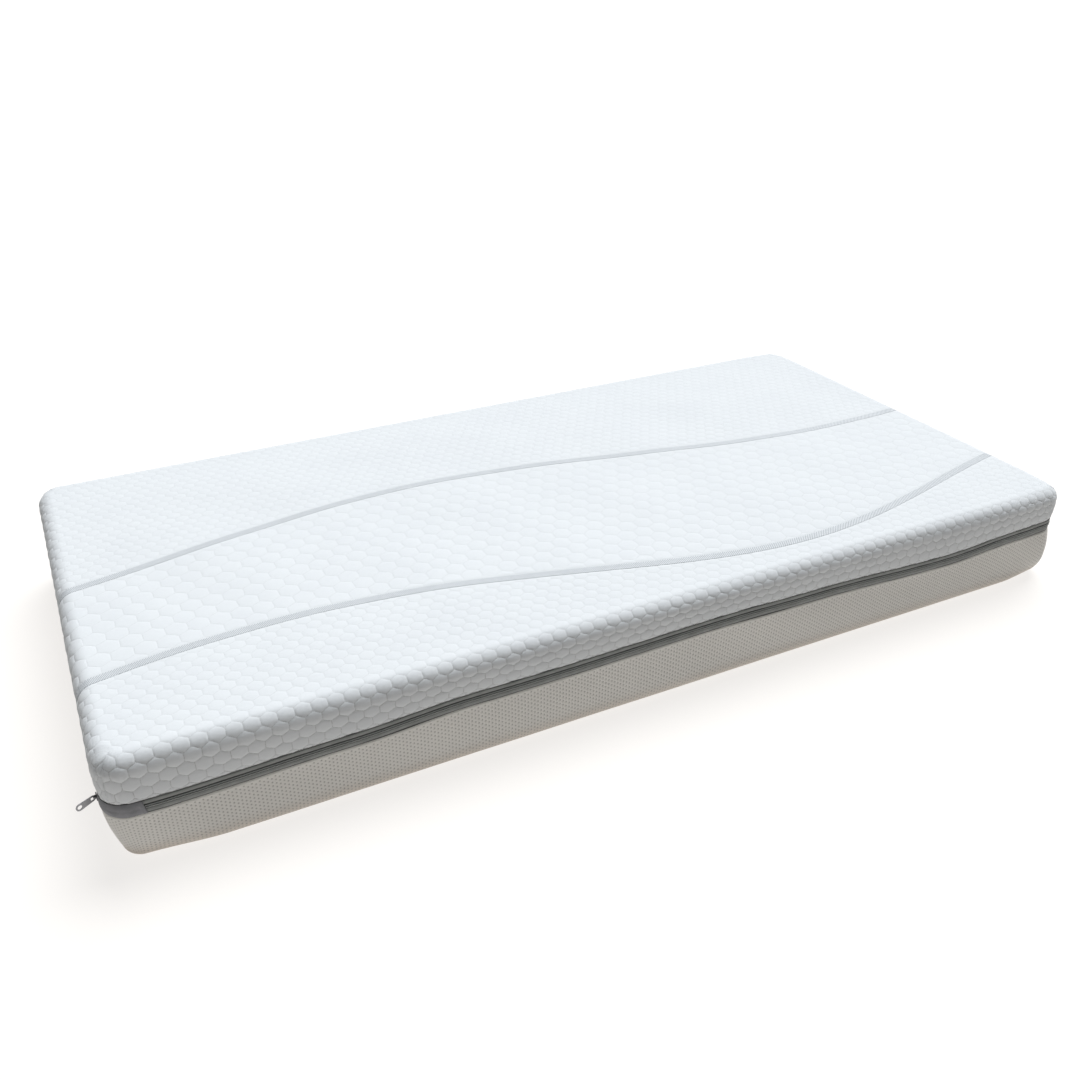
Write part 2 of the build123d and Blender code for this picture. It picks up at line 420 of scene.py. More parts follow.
@dataclass(frozen=True)
class FoldedCloth:
    """Folds flat cloth over the top of the mattress and down its four side walls.

    Flat cloth has the top's own coordinates, and its skirts carry on past the top's edges.
    """

    outline: Outline
    zip_line: ZipLine
    inside: float = 0.0
    crown: float = 0.0035
    bulge: float = 0.0014
    hem_tuck: float = 0.0022
    hem_roll: float = 0.006
    slump: Undulation = Undulation(0.0007, 0.3, 11)
    bulge_start: float = 0.7
    bulge_sag: float = 1.2

    @property
    def flat_corner(self) -> float:
        """The corner radius of the flat top."""
        return self.outline.corner_radius - self.outline.edge_radius

    @property
    def edge(self) -> float:
        """The radius of the fold along the top's edges."""
        return self.outline.edge_radius - self.inside

    @property
    def flat_x(self) -> float:
        """Half the length of the flat top."""
        return self.outline.half_length - self.outline.edge_radius

    @property
    def flat_y(self) -> float:
        """Half the width of the flat top."""
        return self.outline.half_width - self.outline.edge_radius

    @property
    def skirt(self) -> float:
        """How far the cloth carries on past the top's edges."""
        straight = self.outline.top - self.outline.edge_radius - self.outline.hem
        return self.edge * RIGHT_ANGLE + straight

    def corner_reach(self, out: Array) -> Array:
        """How far round a corner a skirt goes before it meets its neighbour."""
        wall_corner = (self.outline.corner_radius - self.inside) * EIGHTH_TURN
        return self.flat_corner + (wall_corner - self.flat_corner) * out / self.edge

    def past_corner(self, u: Array, v: Array, ends: bool) -> Array:
        """How far points lie past the seam where two skirts meet, for one of the skirts.

        Args:
            u: Flat coordinate along the length.
            v: Flat coordinate across the width.
            ends: Whether the skirt is an end one.

        Returns:
            The distance past the seam, which is negative on the skirt itself.
        """
        if ends:
            fold, across = np.abs(u) - self.flat_x, np.abs(v) - self.outline.arc_y
        else:
            fold, across = np.abs(v) - self.flat_y, np.abs(u) - self.outline.arc_x
        out = self.edge * np.sin(np.clip(fold / self.edge, 0.0, RIGHT_ANGLE))
        return across - self.corner_reach(out)

    def parted(self, u: Array, v: Array, faces: Array) -> tuple[Array, Array]:
        """Parts the cut-away corners between the end skirts and the side skirts.

        Args:
            u: Flat coordinate along the length.
            v: Flat coordinate across the width.
            faces: The faces of the whole flat cloth.

        Returns:
            The faces that are left, numbered over two copies of the points, and True for the
            copy that goes with the end skirts.
        """
        middle_u, middle_v = np.abs(u[faces]).mean(axis=1), np.abs(v[faces]).mean(axis=1)
        in_corner = (middle_u > self.flat_x) & (middle_v > self.flat_y)
        with_ends = (middle_u > self.flat_x) & (middle_v <= self.flat_y)
        count = len(u)
        parts = [faces[~in_corner & ~with_ends], faces[with_ends] + count]
        for ends in (False, True):
            past = self.past_corner(u, v, ends)
            kept = in_corner & (past[faces] < 0).any(axis=1)
            parts.append(faces[kept] + (count if ends else 0))
        cut = (np.abs(u) > self.flat_x) & (np.abs(v) > self.flat_y)
        number = np.arange(2 * count)
        number[count:][~cut] -= count
        return number[np.concatenate(parts)], np.arange(2 * count) >= count

    def swell(self, u: Array, v: Array, fold: Array) -> Array:
        """How far the stuffed cover stands off its own surface.

        Args:
            u: Flat coordinate along the length.
            v: Flat coordinate across the width.
            fold: How far past the top's edge each point is.

        Returns:
            The crown of the top, the bulge of the skirts and the tuck at the hem, in metres.
        """
        on_top = eased(1 - (u / self.flat_x) ** 4) * eased(1 - (v / self.flat_y) ** 4)
        crown = (self.crown + self.slump.at(u, v)) * on_top
        start = self.edge * self.bulge_start
        down = np.clip((fold - start) / (self.skirt - start), 0.0, 1.0)
        bulge = self.bulge * np.sin(math.pi * down**self.bulge_sag)
        tuck = self.hem_tuck * (1 - rounded_rise(np.maximum(self.skirt - fold, 0), self.hem_roll))
        return crown + np.where(fold > 0, bulge - tuck, 0.0)

    def place(
        self, u: Array, v: Array, lift: Array, ends: Array
    ) -> tuple[Array, Array]:
        """Puts points of the flat cloth in their places.

        Args:
            u: Flat coordinate along the length.
            v: Flat coordinate across the width.
            lift: How far each point stands off the cloth's own surface.
            ends: True where a point of the cut-away corner goes with an end skirt.

        Returns:
            The places, and the outward directions there.
        """
        outline = self.outline
        reach_u, reach_v = np.abs(u), np.abs(v)
        on_end = (reach_u > self.flat_x) & ((reach_v <= self.flat_y) | ends)
        on_side = (reach_v > self.flat_y) & ~on_end

        def chosen(side: Array, end: Array, top: Array | float = 0.0) -> Array:
            """The value that goes with the part of the cover where each point is."""
            return np.where(on_side, side, np.where(on_end, end, top))

        fold = chosen(reach_v - self.flat_y, reach_u - self.flat_x)
        bend = np.clip(fold / self.edge, 0.0, RIGHT_ANGLE)
        out = self.edge * np.sin(bend)
        drop = self.edge * (1.0 - np.cos(bend)) + np.maximum(fold - self.edge * RIGHT_ANGLE, 0.0)
        over_u, over_v = reach_u - outline.arc_x, reach_v - outline.arc_y
        across = np.where(on_side, over_u, over_v)
        reach = self.corner_reach(out)
        turn = EIGHTH_TURN * np.clip(across, 0.0, reach) / reach
        radius = self.flat_corner + out
        far, near = np.cos(turn), np.sin(turn)
        before = np.minimum(across, 0.0)
        top_x, top_y = warped_corner(reach_u, reach_v, over_u, over_v)
        x = chosen(outline.arc_x + before + radius * near, outline.arc_x + radius * far, top_x)
        y = chosen(outline.arc_y + radius * far, outline.arc_y + before + radius * near, top_y)
        sign_u, sign_v = np.where(u < 0, -1.0, 1.0), np.where(v < 0, -1.0, 1.0)
        normal_x = chosen(near, far) * np.sin(bend) * sign_u
        normal_y = chosen(far, near) * np.sin(bend) * sign_v
        x, y = outline.softened(x * sign_u, y * sign_v)
        share = np.clip(drop / (outline.top - outline.hem), 0.0, 1.0)
        rise = self.zip_line.rise(outline.along(x, y)) * eased(share)
        z = outline.top - self.inside - drop + rise
        normal = joined(normal_x, normal_y, np.cos(bend))
        return joined(x, y, z) + normal * lift[..., None], normal


def warped_corner(
    reach_x: Array, reach_y: Array, over_x: Array, over_y: Array
) -> tuple[Array, Array]:
    """Rounds the square corners of a grid, so that its edge follows a round corner.

    Args:
        reach_x: Distance of each point from the middle, along the length.
        reach_y: The same across the width.
        over_x: How far the point is past the corner arc's centre, along the length.
        over_y: The same across the width.

    Returns:
        The warped distances from the middle.
    """
    most = np.maximum(over_x, over_y)
    least = np.minimum(over_x, over_y)
    in_corner = least > 0.0
    safe = np.where(in_corner, most, 1.0)
    turn = EIGHTH_TURN * np.where(in_corner, least, 0.0) / safe
    far, near = most * np.cos(turn), most * np.sin(turn)
    longer_x = over_x >= over_y
    centre_x, centre_y = reach_x - over_x, reach_y - over_y
    x = np.where(in_corner, centre_x + np.where(longer_x, far, near), reach_x)
    y = np.where(in_corner, centre_y + np.where(longer_x, near, far), reach_y)
    return x, y


@dataclass(frozen=True)
class WaveLine:
    """The middle of a woven band, which snakes along the length of the cover."""

    middle: float
    swing: float
    crest: float
    length: float
    second_swing: float = 0.0
    second_crest: float = 0.0

    def across(self, u: Array) -> Array:
        """Where the line is across the width at places along the length.

        Args:
            u: Places along the length.

        Returns:
            The places across the width.
        """
        place = TURN * (u - self.crest) / self.length
        second = 2 * TURN * (u - self.second_crest) / self.length
        return self.middle + self.swing * np.cos(place) + self.second_swing * np.cos(second)

    def slope(self, u: Array) -> Array:
        """How steeply the line crosses the length there."""
        step = 0.001
        return (self.across(u + step) - self.across(u - step)) / (2 * step)


def colour(red: int, green: int, blue: int) -> Colour:
    """A screen colour from 0 to 255 as the linear colour that a shader takes.

    Args:
        red: Level of red.
        green: Level of green.
        blue: Level of blue.

    Returns:
        The linear colour, fully opaque.
    """
    levels = [level / WHITE_LEVEL for level in (red, green, blue)]
    linear = [((c + 0.055) / 1.055) ** 2.4 if c > 0.04045 else c / 12.92 for c in levels]
    return (linear[0], linear[1], linear[2], 1.0)


class Recipe:
    """A material's nodes, added one after another, round one main shader."""

    def __init__(self, name: str, roughness: float, metallic: float = 0.0, sheen: float = 0.0):
        """Starts a material.

        Args:
            name: The material's name.
            roughness: How matt the surface is.
            metallic: 1 for bare metal.
            sheen: How much soft light the fibres catch at the edges.
        """
        self.material = bpy.data.materials.new(name)
        self.material.use_nodes = True
        self.tree = self.material.node_tree
        self.shader = self.tree.nodes["Principled BSDF"]
        self.shader.inputs["Roughness"].default_value = roughness
        self.shader.inputs["Metallic"].default_value = metallic
        self.shader.inputs["Sheen Weight"].default_value = sheen

    def node(self, kind: str, **settings: object) -> bpy.types.Node:
        """Adds a node and sets it up.

        Args:
            kind: The node type, without its usual prefix.
            settings: What to set on it, by name.

        Returns:
            The new node.
        """
        made = self.tree.nodes.new("ShaderNode" + kind)
        for setting, value in settings.items():
            setattr(made, setting, value)
        return made

    def link(self, source: object, target: Socket) -> None:
        """Joins an output to an input, or sets the input where the source is a plain value.

        Args:
            source: An output or a plain value.
            target: The input.
        """
        if isinstance(source, Socket):
            self.tree.links.new(source, target)
        else:
            target.default_value = source

    def maths(self, operation: str, first: object, second: object = 0.0) -> Socket:
        """One step of arithmetic on two numbers.

        Args:
            operation: The step's name.
            first: An output or a number.
            second: The same.

        Returns:
            The result.
        """
        made = self.node("Math", operation=operation)
        self.link(first, made.inputs[0])
        self.link(second, made.inputs[1])
        return made.outputs[0]

    def times(self, first: object, second: object) -> Socket:
        """One number times another."""
        return self.maths("MULTIPLY", first, second)

    def mix(self, share: object, first: object, second: object) -> Socket:
        """A blend of two colours.

        Args:
            share: How much of the second, from 0 to 1.
            first: An output or a colour.
            second: The same.

        Returns:
            The blend.
        """
        made = self.node("Mix", data_type="RGBA")
        self.link(share, made.inputs["Factor"])
        self.link(first, made.inputs["A"])
        self.link(second, made.inputs["B"])
        return made.outputs["Result"]

    def mark(self, name: str) -> Socket:
        """The number that the mesh carries under this name."""
        return self.node("Attribute", attribute_name=name).outputs["Fac"]

    def place(self) -> Socket:
        """Where the surface is on the piece, in metres."""
        return self.node("TexCoord").outputs["Object"]

    def cloth(self) -> tuple[Socket, Socket]:
        """The two cloth coordinates, in metres."""
        split = self.node("SeparateXYZ")
        self.link(self.node("UVMap", uv_map="Cloth").outputs["UV"], split.inputs[0])
        return split.outputs["X"], split.outputs["Y"]

    def noise(self, length: float, detail: float = 3.0) -> Socket:
        """Soft random variation whose lumps are about this long, in metres.

        Args:
            length: The length of a lump.
            detail: How many finer layers there are.

        Returns:
            The variation, from 0 to 1.
        """
        made = self.node("TexNoise")
        made.inputs["Scale"].default_value = 1.0 / length
        made.inputs["Detail"].default_value = detail
        self.link(self.place(), made.inputs["Vector"])
        return made.outputs["Fac"]

    def between(self, value: object, low: float, high: float) -> Socket:
        """Eases a value from 0 at low to 1 at high.

        Args:
            value: The value.
            low: Where it gives 0.
            high: Where it gives 1.

        Returns:
            The eased value.
        """
        made = self.node("MapRange", interpolation_type="SMOOTHSTEP")
        self.link(value, made.inputs["Value"])
        made.inputs["From Min"].default_value = low
        made.inputs["From Max"].default_value = high
        return made.outputs["Result"]

    def patches(self, length: float, low: float = 0.35, high: float = 0.7) -> Socket:
        """Soft patches of 1 in a field of 0, about this long."""
        return self.between(self.noise(length), low, high)

    def wave(self, coordinate: object, length: float) -> Socket:
        """A sine of a coordinate, with this wavelength."""
        return self.maths("SINE", self.times(coordinate, TURN / length))

    def bump(self, height: object, depth: float, strength: float = 1.0) -> None:
        """Raises the surface by a height of 0 to 1 times a depth in metres, after earlier bumps.

        Args:
            height: The height.
            depth: What 1 stands for.
            strength: How much of it shows.
        """
        made = self.node("Bump")
        made.inputs["Strength"].default_value = strength
        made.inputs["Distance"].default_value = depth
        self.link(height, made.inputs["Height"])
        if self.shader.inputs["Normal"].is_linked:
            self.link(self.shader.inputs["Normal"].links[0].from_socket, made.inputs["Normal"])
        self.link(made.outputs["Normal"], self.shader.inputs["Normal"])

    def fuzz(self, length: float, depth: float, strength: float = 0.6) -> None:
        """Raises soft lumps of loose fibre, about this long."""
        self.bump(self.noise(length, 2.0), depth, strength)

    def paint(self, value: object) -> bpy.types.Material:
        """Ends the recipe with its colour.

        Args:
            value: The colour, as a socket or a plain colour.

        Returns:
            The finished material.
        """
        self.link(value, self.shader.inputs["Base Color"])
        return self.material


@dataclass(frozen=True)
class KnitFinish:
    """Stretch knit with sewn cells: small loops, soft fibres, and a fine stitched line darkened with painted
    groove shade, shown less on the lit top than on the shaded skirts, with painted shade beside each seam.
    """

    name: str = "quilted_knit"
    face: Colour = colour(204, 206, 207)
    shade: Colour = colour(199, 201, 203)
    thread_and_groove_shade: Colour = colour(164, 163, 162)
    loop: float = 0.0013
    stitch: float = 0.0022
    seam_width: float = 0.0005
    painted_seam_shade_width: float = 0.003
    painted_seam_shade_share: float = 0.15
    patch_shade: float = 0.35
    lit_top_line_share: float = 0.4
    least_stitch: float = 0.2
    dash: float = 0.6
    loop_depth: float = 0.00008

    def material(self) -> bpy.types.Material:
        """Makes the knit's material from its cloth coordinates and seam marks."""
        knit = Recipe(self.name, roughness=0.88, sheen=0.12)
        along, across = knit.cloth()
        loops = knit.times(knit.wave(along, self.loop), knit.wave(across, self.loop))
        seam = knit.mark("seam")
        near = knit.between(seam, self.seam_width * 2.2, self.seam_width * 0.3)
        dashes = knit.between(knit.noise(self.stitch, 1.0), 0.36, 0.62)
        dashed = knit.maths("ADD", self.least_stitch, knit.times(dashes, self.dash))
        # The stitched line along each seam: real dashed stitches, darkened with the thread colour as painted
        # shade in the seam's groove.
        stitch_and_groove_shade = knit.times(near, dashed)
        # Painted light: the line shows at a smaller share on the brightly lit top and in full on the skirts,
        # which are in shade.
        shaded_skirt_extra = knit.times(knit.mark("skirt"), 1.0 - self.lit_top_line_share)
        line_share_by_light = knit.maths("ADD", self.lit_top_line_share, shaded_skirt_extra)
        stitch_and_groove_shade = knit.times(stitch_and_groove_shade, line_share_by_light)
        # Painted shade: the knit darkens towards each seam, where the cloth dips into the groove.
        painted_seam_shade = knit.times(knit.between(seam, self.painted_seam_shade_width, 0.0), self.painted_seam_shade_share)
        patchy = knit.times(knit.patches(0.09), self.patch_shade)
        # The shade colour serves both the painted seam shade and the knit's own patchy tone.
        cloth = knit.mix(knit.maths("MAXIMUM", painted_seam_shade, patchy), self.face, self.shade)
        knit.bump(loops, self.loop_depth)
        knit.fuzz(0.004, 0.00025)
        return knit.paint(knit.mix(stitch_and_groove_shade, cloth, self.thread_and_groove_shade))


@dataclass(frozen=True)
class BandFinish:
    """Flat woven band with slanting ribs."""

    name: str = "wave_band_twill"
    high: Colour = colour(208, 210, 211)
    low: Colour = colour(150, 154, 158)
    yarn: float = 0.0008
    yarn_depth: float = 0.00006
    edge_width: float = 0.0014
    edge_shade: float = 0.5
    wear: float = 0.2

    def material(self) -> bpy.types.Material:
        """Makes the band's material: lighter ribs, darker furrows and fine yarns."""
        band = Recipe(self.name, roughness=0.7, sheen=0.08)
        along, across = band.cloth()
        yarns = band.wave(band.maths("ADD", along, across), self.yarn)
        rib = band.between(band.mark("rib"), 0.1, 0.7)
        edge = band.between(band.mark("edge"), self.edge_width, 0.0004)
        worn = band.times(band.noise(0.02), self.wear)
        shade = band.maths("SUBTRACT", rib, worn)
        band.bump(yarns, self.yarn_depth)
        cloth = band.mix(shade, self.low, self.high)
        # Painted shade: the band darkens towards its edges, where it dips under the quilting.
        return band.paint(band.mix(band.times(edge, self.edge_shade), cloth, self.low))


@dataclass(frozen=True)
class SpacerMeshFinish:
    """Warm grey spacer mesh: small holes, darkened with painted shade, in a springy knit that darkens and
    warms towards the floor with painted shade and warm floor bounce.
    """

    name: str = "spacer_mesh_knit"
    rib: Colour = colour(222, 219, 213)
    hole: Colour = colour(170, 166, 160)
    floor_bounce_shade: Colour = colour(198, 184, 168)
    yarn: float = 0.0011
    floor_bounce_top: float = 0.045
    floor_bounce_full: float = 0.004
    floor_bounce_share: float = 0.75
    unevenness: float = 0.3
    yarn_depth: float = 0.0001

    def material(self) -> bpy.types.Material:
        """Makes the mesh's material from its hole marks and its height over the floor."""
        mesh = Recipe(self.name, roughness=0.82, sheen=0.1)
        along, across = mesh.cloth()
        yarns = mesh.times(mesh.wave(along, self.yarn), mesh.wave(across, self.yarn))
        # Painted shade: the holes are darkened with the hole colour, as the inside of each hole is in shade.
        open_share = mesh.between(mesh.mark("hole"), 0.08, 0.6)
        uneven = mesh.times(mesh.noise(0.06), self.unevenness)
        depth = mesh.times(open_share, mesh.maths("SUBTRACT", 1.0, uneven))
        # Painted shade and warm bounce light from the floor: the mesh darkens and browns over its lowest few
        # centimetres.
        split = mesh.node("SeparateXYZ")
        mesh.link(mesh.place(), split.inputs[0])
        low = mesh.between(split.outputs["Z"], self.floor_bounce_top, self.floor_bounce_full)
        cloth = mesh.mix(mesh.times(low, self.floor_bounce_share), self.rib, self.floor_bounce_shade)
        mesh.bump(yarns, self.yarn_depth)
        mesh.fuzz(0.003, 0.0002)
        return mesh.paint(mesh.mix(depth, cloth, self.hole))


@dataclass(frozen=True)
class WovenFinish:
    """A plain woven cloth or tape: crossing yarns, a little colour variation, worn fibres and, for the zip
    tape, painted shade in its furrows.
    """

    name: str
    face: Colour
    shade: Colour
    yarn: float
    roughness: float = 0.8
    sheen: float = 0.1
    depth: float = 0.0001
    furrow_shade: Colour | None = None

    def material(self) -> bpy.types.Material:
        """Makes the weave from the cloth coordinates."""
        weave = Recipe(self.name, roughness=self.roughness, sheen=self.sheen)
        along, across = weave.cloth()
        warp = weave.wave(along, self.yarn)
        weft = weave.wave(across, self.yarn)
        cross = weave.between(weave.times(warp, weft), -0.7, 0.7)
        patchy = weave.patches(0.025)
        share = weave.maths("ADD", weave.times(cross, 0.5), weave.times(patchy, 0.5))
        weave.bump(cross, self.depth)
        weave.fuzz(0.003, self.depth * 2, 0.5)
        cloth = weave.mix(share, self.shade, self.face)
        # Painted shade: where a furrow colour is given, the marked furrows of the tape are darkened with it.
        if self.furrow_shade is not None:
            cloth = weave.mix(weave.mark("furrow_shade"), cloth, self.furrow_shade)
        return weave.paint(cloth)


@dataclass(frozen=True)
class FoamFinish:
    """Open-cell foam: pores, a cut skin, and patches that have yellowed a little."""

    name: str
    face: Colour
    shade: Colour
    pore: float = 0.0014
    pore_depth: float = 0.0003
    pore_shade: float = 0.25
    patch_shade: float = 0.6

    def material(self) -> bpy.types.Material:
        """Makes the foam from its place on the piece."""
        foam = Recipe(self.name, roughness=0.95, sheen=0.05)
        cells = foam.node("TexVoronoi")
        cells.inputs["Scale"].default_value = 1.0 / self.pore
        foam.link(foam.place(), cells.inputs["Vector"])
        pores = foam.between(cells.outputs["Distance"], 0.1, 0.6)
        patchy = foam.patches(0.05, 0.3, 0.75)
        foam.bump(pores, self.pore_depth)
        mottled = foam.mix(foam.times(patchy, self.patch_shade), self.face, self.shade)
        return foam.paint(foam.mix(foam.times(pores, self.pore_shade), mottled, self.shade))


@dataclass(frozen=True)
class MetalFinish:
    """Painted or plated zip metal with rubbed edges, fine scratches and tarnish."""

    name: str
    face: Colour
    rubbed: Colour
    roughness: float
    metallic: float
    tarnish_roughness: float = 0.18
    tarnish_shade: float = 0.25
    scratch: float = 0.0006
    scratch_depth: float = 0.00004

    def material(self) -> bpy.types.Material:
        """Makes the metal, lighter where its edges stick out and are rubbed."""
        metal = Recipe(self.name, roughness=self.roughness, metallic=self.metallic)
        edges = metal.node("NewGeometry").outputs["Pointiness"]
        worn = metal.between(edges, 0.52, 0.6)
        tarnish = metal.patches(0.003, 0.3, 0.75)
        scratches = metal.noise(self.scratch, 4.0)
        rough = metal.maths("MULTIPLY_ADD", tarnish, self.tarnish_roughness)
        rough.node.inputs[2].default_value = self.roughness
        metal.link(rough, metal.shader.inputs["Roughness"])
        metal.bump(scratches, self.scratch_depth)
        share = metal.maths("MAXIMUM", worn, metal.times(tarnish, self.tarnish_shade))
        return metal.paint(metal.mix(share, self.face, self.rubbed))


@dataclass(frozen=True)
class CoilFinish:
    """Moulded nylon coil: half-shiny teeth, with painted shade in the gaps between them and where each tooth
    curves back into the tape.
    """

    name: str = "coil_nylon"
    tooth: Colour = colour(206, 208, 205)
    gap_shade: Colour = colour(104, 106, 104)
    dust: float = 0.3
    grain: float = 0.0008
    grain_depth: float = 0.00004

    def material(self) -> bpy.types.Material:
        """Makes the nylon from the marks along the row."""
        nylon = Recipe(self.name, roughness=0.42)
        tooth = nylon.between(nylon.mark("tooth"), 0.25, 0.8)
        dusty = nylon.times(nylon.noise(0.004), self.dust)
        nylon.bump(nylon.noise(self.grain), self.grain_depth)
        return nylon.paint(nylon.mix(nylon.maths("SUBTRACT", tooth, dusty), self.gap_shade, self.tooth))


def dress(
    piece: bpy.types.Object,
    body: Body,
    material: bpy.types.Material,
    nodes: tuple[str, ...] = (),
) -> bpy.types.Object:
    """Gives a piece its finish, its body and the nodes that it stands for.

    Args:
        piece: The piece.
        body: The body that it rides on.
        material: Its finish.
        nodes: The frame's nodes that it replaces.

    Returns:
        The same piece.
    """
    piece.data.materials.clear()
    piece.data.materials.append(material)
    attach(piece, body.value)
    if nodes:
        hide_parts(*nodes)
    log.info("%s: %d faces on %s", piece.name, len(piece.data.polygons), body.value)
    return piece


@dataclass(frozen=True)
class CellLattice:
    """Points and triangles of one sewn cell, in steps of a triangle grid.

    The rings say how far from the cell's middle each ring of points lies, closer together
    towards the seam, where the cloth turns down.
    """

    rings: tuple[float, ...]

    @property
    def steps(self) -> int:
        """How many rings there are round the middle point."""
        return len(self.rings) - 1

    def points(self) -> tuple[Array, Array]:
        """The points of a cell.

        Returns:
            Their steps on the triangle grid, and the ring that each is on.
        """
        steps = self.steps
        span = range(-steps, steps + 1)
        found = [(i, j) for i in span for j in span if abs(i + j) <= steps]
        grid = np.array(found)
        ring = np.maximum(np.abs(grid).max(axis=1), np.abs(grid.sum(axis=1)))
        return grid, ring

    def triangles(self) -> Array:
        """The triangles of a cell, as numbers of its points.

        Returns:
            Three numbers for each triangle.
        """
        grid, _ = self.points()
        number = {(int(i), int(j)): k for k, (i, j) in enumerate(grid)}
        made = []
        for i, j in number:
            for corners in (((i, j), (i, j + 1), (i + 1, j)), ((i, j), (i, j - 1), (i - 1, j))):
                if all(corner in number for corner in corners):
                    made.append([number[corner] for corner in corners])
        return np.array(made)


@dataclass(frozen=True)
class QuiltPanel:
    """One panel of the top cover's quilted knit, sewn in six-sided cells.

    Its front and rear sides are the wavy bands, or else the skirt's hem.
    """

    name: str
    outline: Outline
    zip_line: ZipLine
    pitch: float
    row_pitch: float
    puff: float
    rings: tuple[float, ...]
    front: WaveLine | None
    rear: WaveLine | None
    seed: int
    band_width: float = 0.019
    tuck: float = 0.004
    seam_level: float = -0.0005
    skirt_puff: float = 1.1
    band_roll: float = 0.007
    corner_roll: float = 0.005
    corner_dip: float = 0.0007
    dip_reach: float = 0.003
    corner_hold: float = 0.25
    band_dip: float = 0.0016
    seam_reach: float = 0.02
    roundness: float = 0.45
    fullness: tuple[float, float] = (0.82, 1.12)
    wander: float = 0.00035
    wander_length: float = 0.011

    @property
    def folded(self) -> FoldedCloth:
        """The fold that this panel follows."""
        return FoldedCloth(self.outline, self.zip_line)

    def cell(self, grid: Array, ring: Array, steps: int) -> tuple[Array, Array, Array]:
        """One regular cell, before it is squashed to the rows' pitch.

        Args:
            grid: Each point's steps on the triangle grid.
            ring: The ring that each point is on.
            steps: How many rings there are.

        Returns:
            Each point's place from the middle, both ways, and its height as a share of the puff.
        """
        step = self.pitch / math.sqrt(3) / steps
        local_x = grid[:, 1] * step * math.sqrt(3) / 2
        local_y = (grid[:, 0] + grid[:, 1] / 2) * step
        scale = np.array(self.rings)[ring] / np.maximum(ring, 1) * steps
        local_x, local_y = local_x * scale, local_y * scale
        rise = local_y * math.sqrt(3) / 2
        dome = np.ones(len(grid))
        for slant in (local_x, local_x / 2 + rise, local_x / 2 - rise):
            dome = dome * np.maximum(1.0 - (slant / (self.pitch / 2)) ** 2, 0.0)
        return local_x, local_y, dome**self.roundness

    def cells(self) -> tuple[Array, Array, Array, Array]:
        """Lays out enough cells to cover the flat cloth.

        Returns:
            Flat places, triangles, how far each point is from its cell's middle as a share,
            and its height as a share of the puff.
        """
        lattice = CellLattice(self.rings)
        steps = lattice.steps
        grid, ring = lattice.points()
        local_x, local_y, dome = self.cell(grid, ring, steps)
        squash = self.row_pitch / (self.pitch * math.sqrt(3) / 2)
        reach_u = self.folded.flat_x + self.folded.skirt
        reach_v = self.folded.flat_y + self.folded.skirt
        most_rows, most_columns = math.ceil(reach_v / self.row_pitch), math.ceil(reach_u / self.pitch)
        rows = np.arange(-most_rows - 1, most_rows + 2)
        columns = np.arange(-most_columns - 1, most_columns + 2)
        row, column = (part.ravel() for part in np.meshgrid(rows, columns, indexing="ij"))
        centre_v = row * self.row_pitch
        centre_u = (column + 0.5 * (row % 2)) * self.pitch
        low, high = self.sides(centre_u)
        wanted = (centre_v > low - self.pitch) & (centre_v < high + self.pitch)
        row, column, centre_u, centre_v = (part[wanted] for part in (row, column, centre_u, centre_v))
        shift = column - row // 2
        key_i = (row * steps - shift * steps)[:, None] + grid[:, 0]
        key_j = (row * steps + shift * 2 * steps)[:, None] + grid[:, 1]
        draw = np.random.default_rng(self.seed)
        fullness = draw.uniform(*self.fullness, len(row))
        u = centre_u[:, None] + local_x
        v = centre_v[:, None] + local_y * squash
        height = fullness[:, None] * dome
        share = np.broadcast_to(np.array(self.rings)[ring], u.shape)
        keys = (key_i.astype(np.int64) * KEY_SPAN + key_j).ravel()
        _, first, number = np.unique(keys, return_index=True, return_inverse=True)
        triangles = number.reshape(u.shape)[:, lattice.triangles()].reshape(-1, 3)
        flat = joined(u.ravel()[first], v.ravel()[first])
        return flat, triangles, share.ravel()[first], height.ravel()[first]

    def sides(self, u: Array) -> tuple[Array, Array]:
        """The panel's front and rear limits at places along the length.

        Args:
            u: The places.

        Returns:
            The front limit and the rear limit at each place.
        """
        reach = self.folded.flat_y + self.folded.skirt
        held = np.clip(u, -self.outline.half_length, self.outline.half_length)
        under = self.band_width / 2 - self.tuck
        low = np.full(u.shape, -reach) if self.front is None else self.front.across(held) + under
        high = np.full(u.shape, reach) if self.rear is None else self.rear.across(held) - under
        return low, high

    def shape(self) -> Shape:
        """Cuts the cells to the panel's outline, puffs them up and folds the panel.

        Returns:
            The panel's shape, with its distance to the nearest seam as a mark.
        """
        folded = self.folded
        flat, triangles, share, height = self.cells()
        wander = Undulation(self.wander, self.wander_length, self.seed + 1)
        u = flat[:, 0] + wander.at(flat[:, 0], flat[:, 1])
        v = flat[:, 1] + wander.at(flat[:, 1] + ELSEWHERE, flat[:, 0])
        reach_u, reach_v = folded.flat_x + folded.skirt, folded.flat_y + folded.skirt
        low, high = self.sides(u)
        inside = (np.abs(u) < reach_u) & (v > low) & (v < high)
        triangles = triangles[inside[triangles].any(axis=1)]
        u = np.clip(u, -reach_u, reach_u)
        v = np.clip(v, low, high)
        faces, ends = folded.parted(u, v, triangles)
        u, v, share, height = (np.tile(values, 2) for values in (u, v, share, height))
        return self.raised(u, v, share, height, ends, faces)

